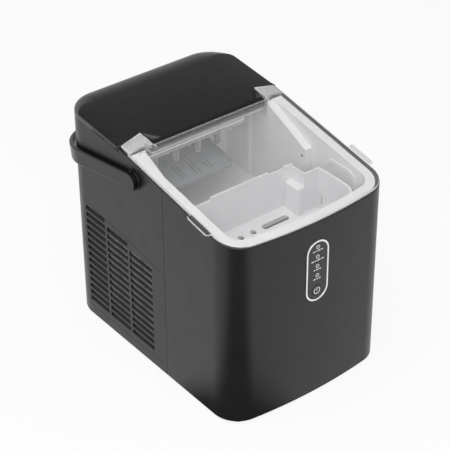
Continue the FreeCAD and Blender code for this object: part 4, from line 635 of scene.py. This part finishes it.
def floor_material():
    """White, and darker in one sector when a glossy surface reflects it."""
    mat, tree, shader = new_material("floor")
    tree.nodes.remove(shader)
    coords = add(tree, "TexCoord")
    split = add(tree, "SeparateXYZ")
    tree.links.new(coords.outputs["Object"], split.inputs["Vector"])
    bearing = add(tree, "Math", {"operation": "ARCTAN2"})
    tree.links.new(split.outputs["X"], bearing.inputs[0])
    tree.links.new(split.outputs["Y"], bearing.inputs[1])
    turn = add(tree, "MapRange", From_Min=-math.pi, From_Max=math.pi, To_Min=0.0, To_Max=1.0)
    tree.links.new(bearing.outputs["Value"], turn.inputs["Value"])
    centre = (DARK_BEARING + math.pi) / (2 * math.pi)
    sector = [(centre + offset, level) for offset, level in DARK_SECTOR]
    shade = grey_ramp(tree, turn.outputs["Result"], [(0.0, 1.0), *sector, (1.0, 1.0)])
    path = add(tree, "LightPath")
    tone = add(tree, "Mix", {"data_type": "RGBA"})
    tone.inputs["A"].default_value = (1, 1, 1, 1)
    tree.links.new(path.outputs["Is Glossy Ray"], tone.inputs["Factor"])
    tree.links.new(shade, tone.inputs["B"])
    glow = add(tree, "Emission", Strength=1.0)
    tree.links.new(tone.outputs["Result"], glow.inputs["Color"])
    paint = add(tree, "BsdfDiffuse", Color=FLOOR_PAINT)
    mix = add(tree, "MixShader", Fac=FLOOR_GLOW_SHARE)
    tree.links.new(paint.outputs["BSDF"], mix.inputs[1])
    tree.links.new(glow.outputs["Emission"], mix.inputs[2])
    tree.links.new(mix.outputs["Shader"], tree.nodes["Material Output"].inputs["Surface"])
    return mat


def make_floor():
    mesh = bpy.data.meshes.new("floor")
    shape = bmesh.new()
    bmesh.ops.create_grid(shape, x_segments=FLOOR_CELLS, y_segments=FLOOR_CELLS, size=FLOOR_HALF)
    shape.to_mesh(mesh)
    shape.free()
    floor = bpy.data.objects.new("floor", mesh)
    scene.collection.objects.link(floor)
    mesh.materials.append(floor_material())


def make_world():
    world = bpy.data.worlds.new("studio")
    scene.world = world
    world.use_nodes = True
    tree = world.node_tree
    coords = add(tree, "TexCoord")
    split = add(tree, "SeparateXYZ")
    tree.links.new(coords.outputs["Generated"], split.inputs["Vector"])
    background = tree.nodes["Background"]
    background.inputs["Strength"].default_value = 1.0
    tree.links.new(grey_ramp(tree, split.outputs["Z"], WORLD_LEVELS), background.inputs["Color"])


def softbox(name, place_at, aim, side, watts):
    light = bpy.data.lights.new(name, "AREA")
    light.shape = "RECTANGLE"
    light.size = side
    light.size_y = side
    light.energy = watts
    lamp = bpy.data.objects.new(name, light)
    scene.collection.objects.link(lamp)
    lamp.location = place_at
    lamp.rotation_euler = (Vector(aim) - Vector(place_at)).to_track_quat("-Z", "Y").to_euler()


def make_camera():
    camera = bpy.data.cameras.new("camera")
    camera.sensor_width = CAMERA_SENSOR
    camera.lens = CAMERA_LENS
    holder = bpy.data.objects.new("camera", camera)
    scene.collection.objects.link(holder)
    scene.camera = holder
    level = math.cos(CAMERA_ELEVATION)
    back = Vector((-math.sin(CAMERA_AZIMUTH) * level, -math.cos(CAMERA_AZIMUTH) * level,
                   math.sin(CAMERA_ELEVATION)))
    right = (-back).cross(Z_AXIS).normalized()
    up = right.cross(-back)
    turned_right = right * math.cos(CAMERA_ROLL) + up * math.sin(CAMERA_ROLL)
    turned_up = up * math.cos(CAMERA_ROLL) - right * math.sin(CAMERA_ROLL)
    pose = Matrix((turned_right, turned_up, back)).transposed().to_4x4()
    pose.translation = CAMERA_PLACE
    holder.matrix_world = pose


make_floor()
make_world()
for box in SOFTBOXES:
    softbox(*box)
make_camera()
scene.view_settings.view_transform = "Standard"
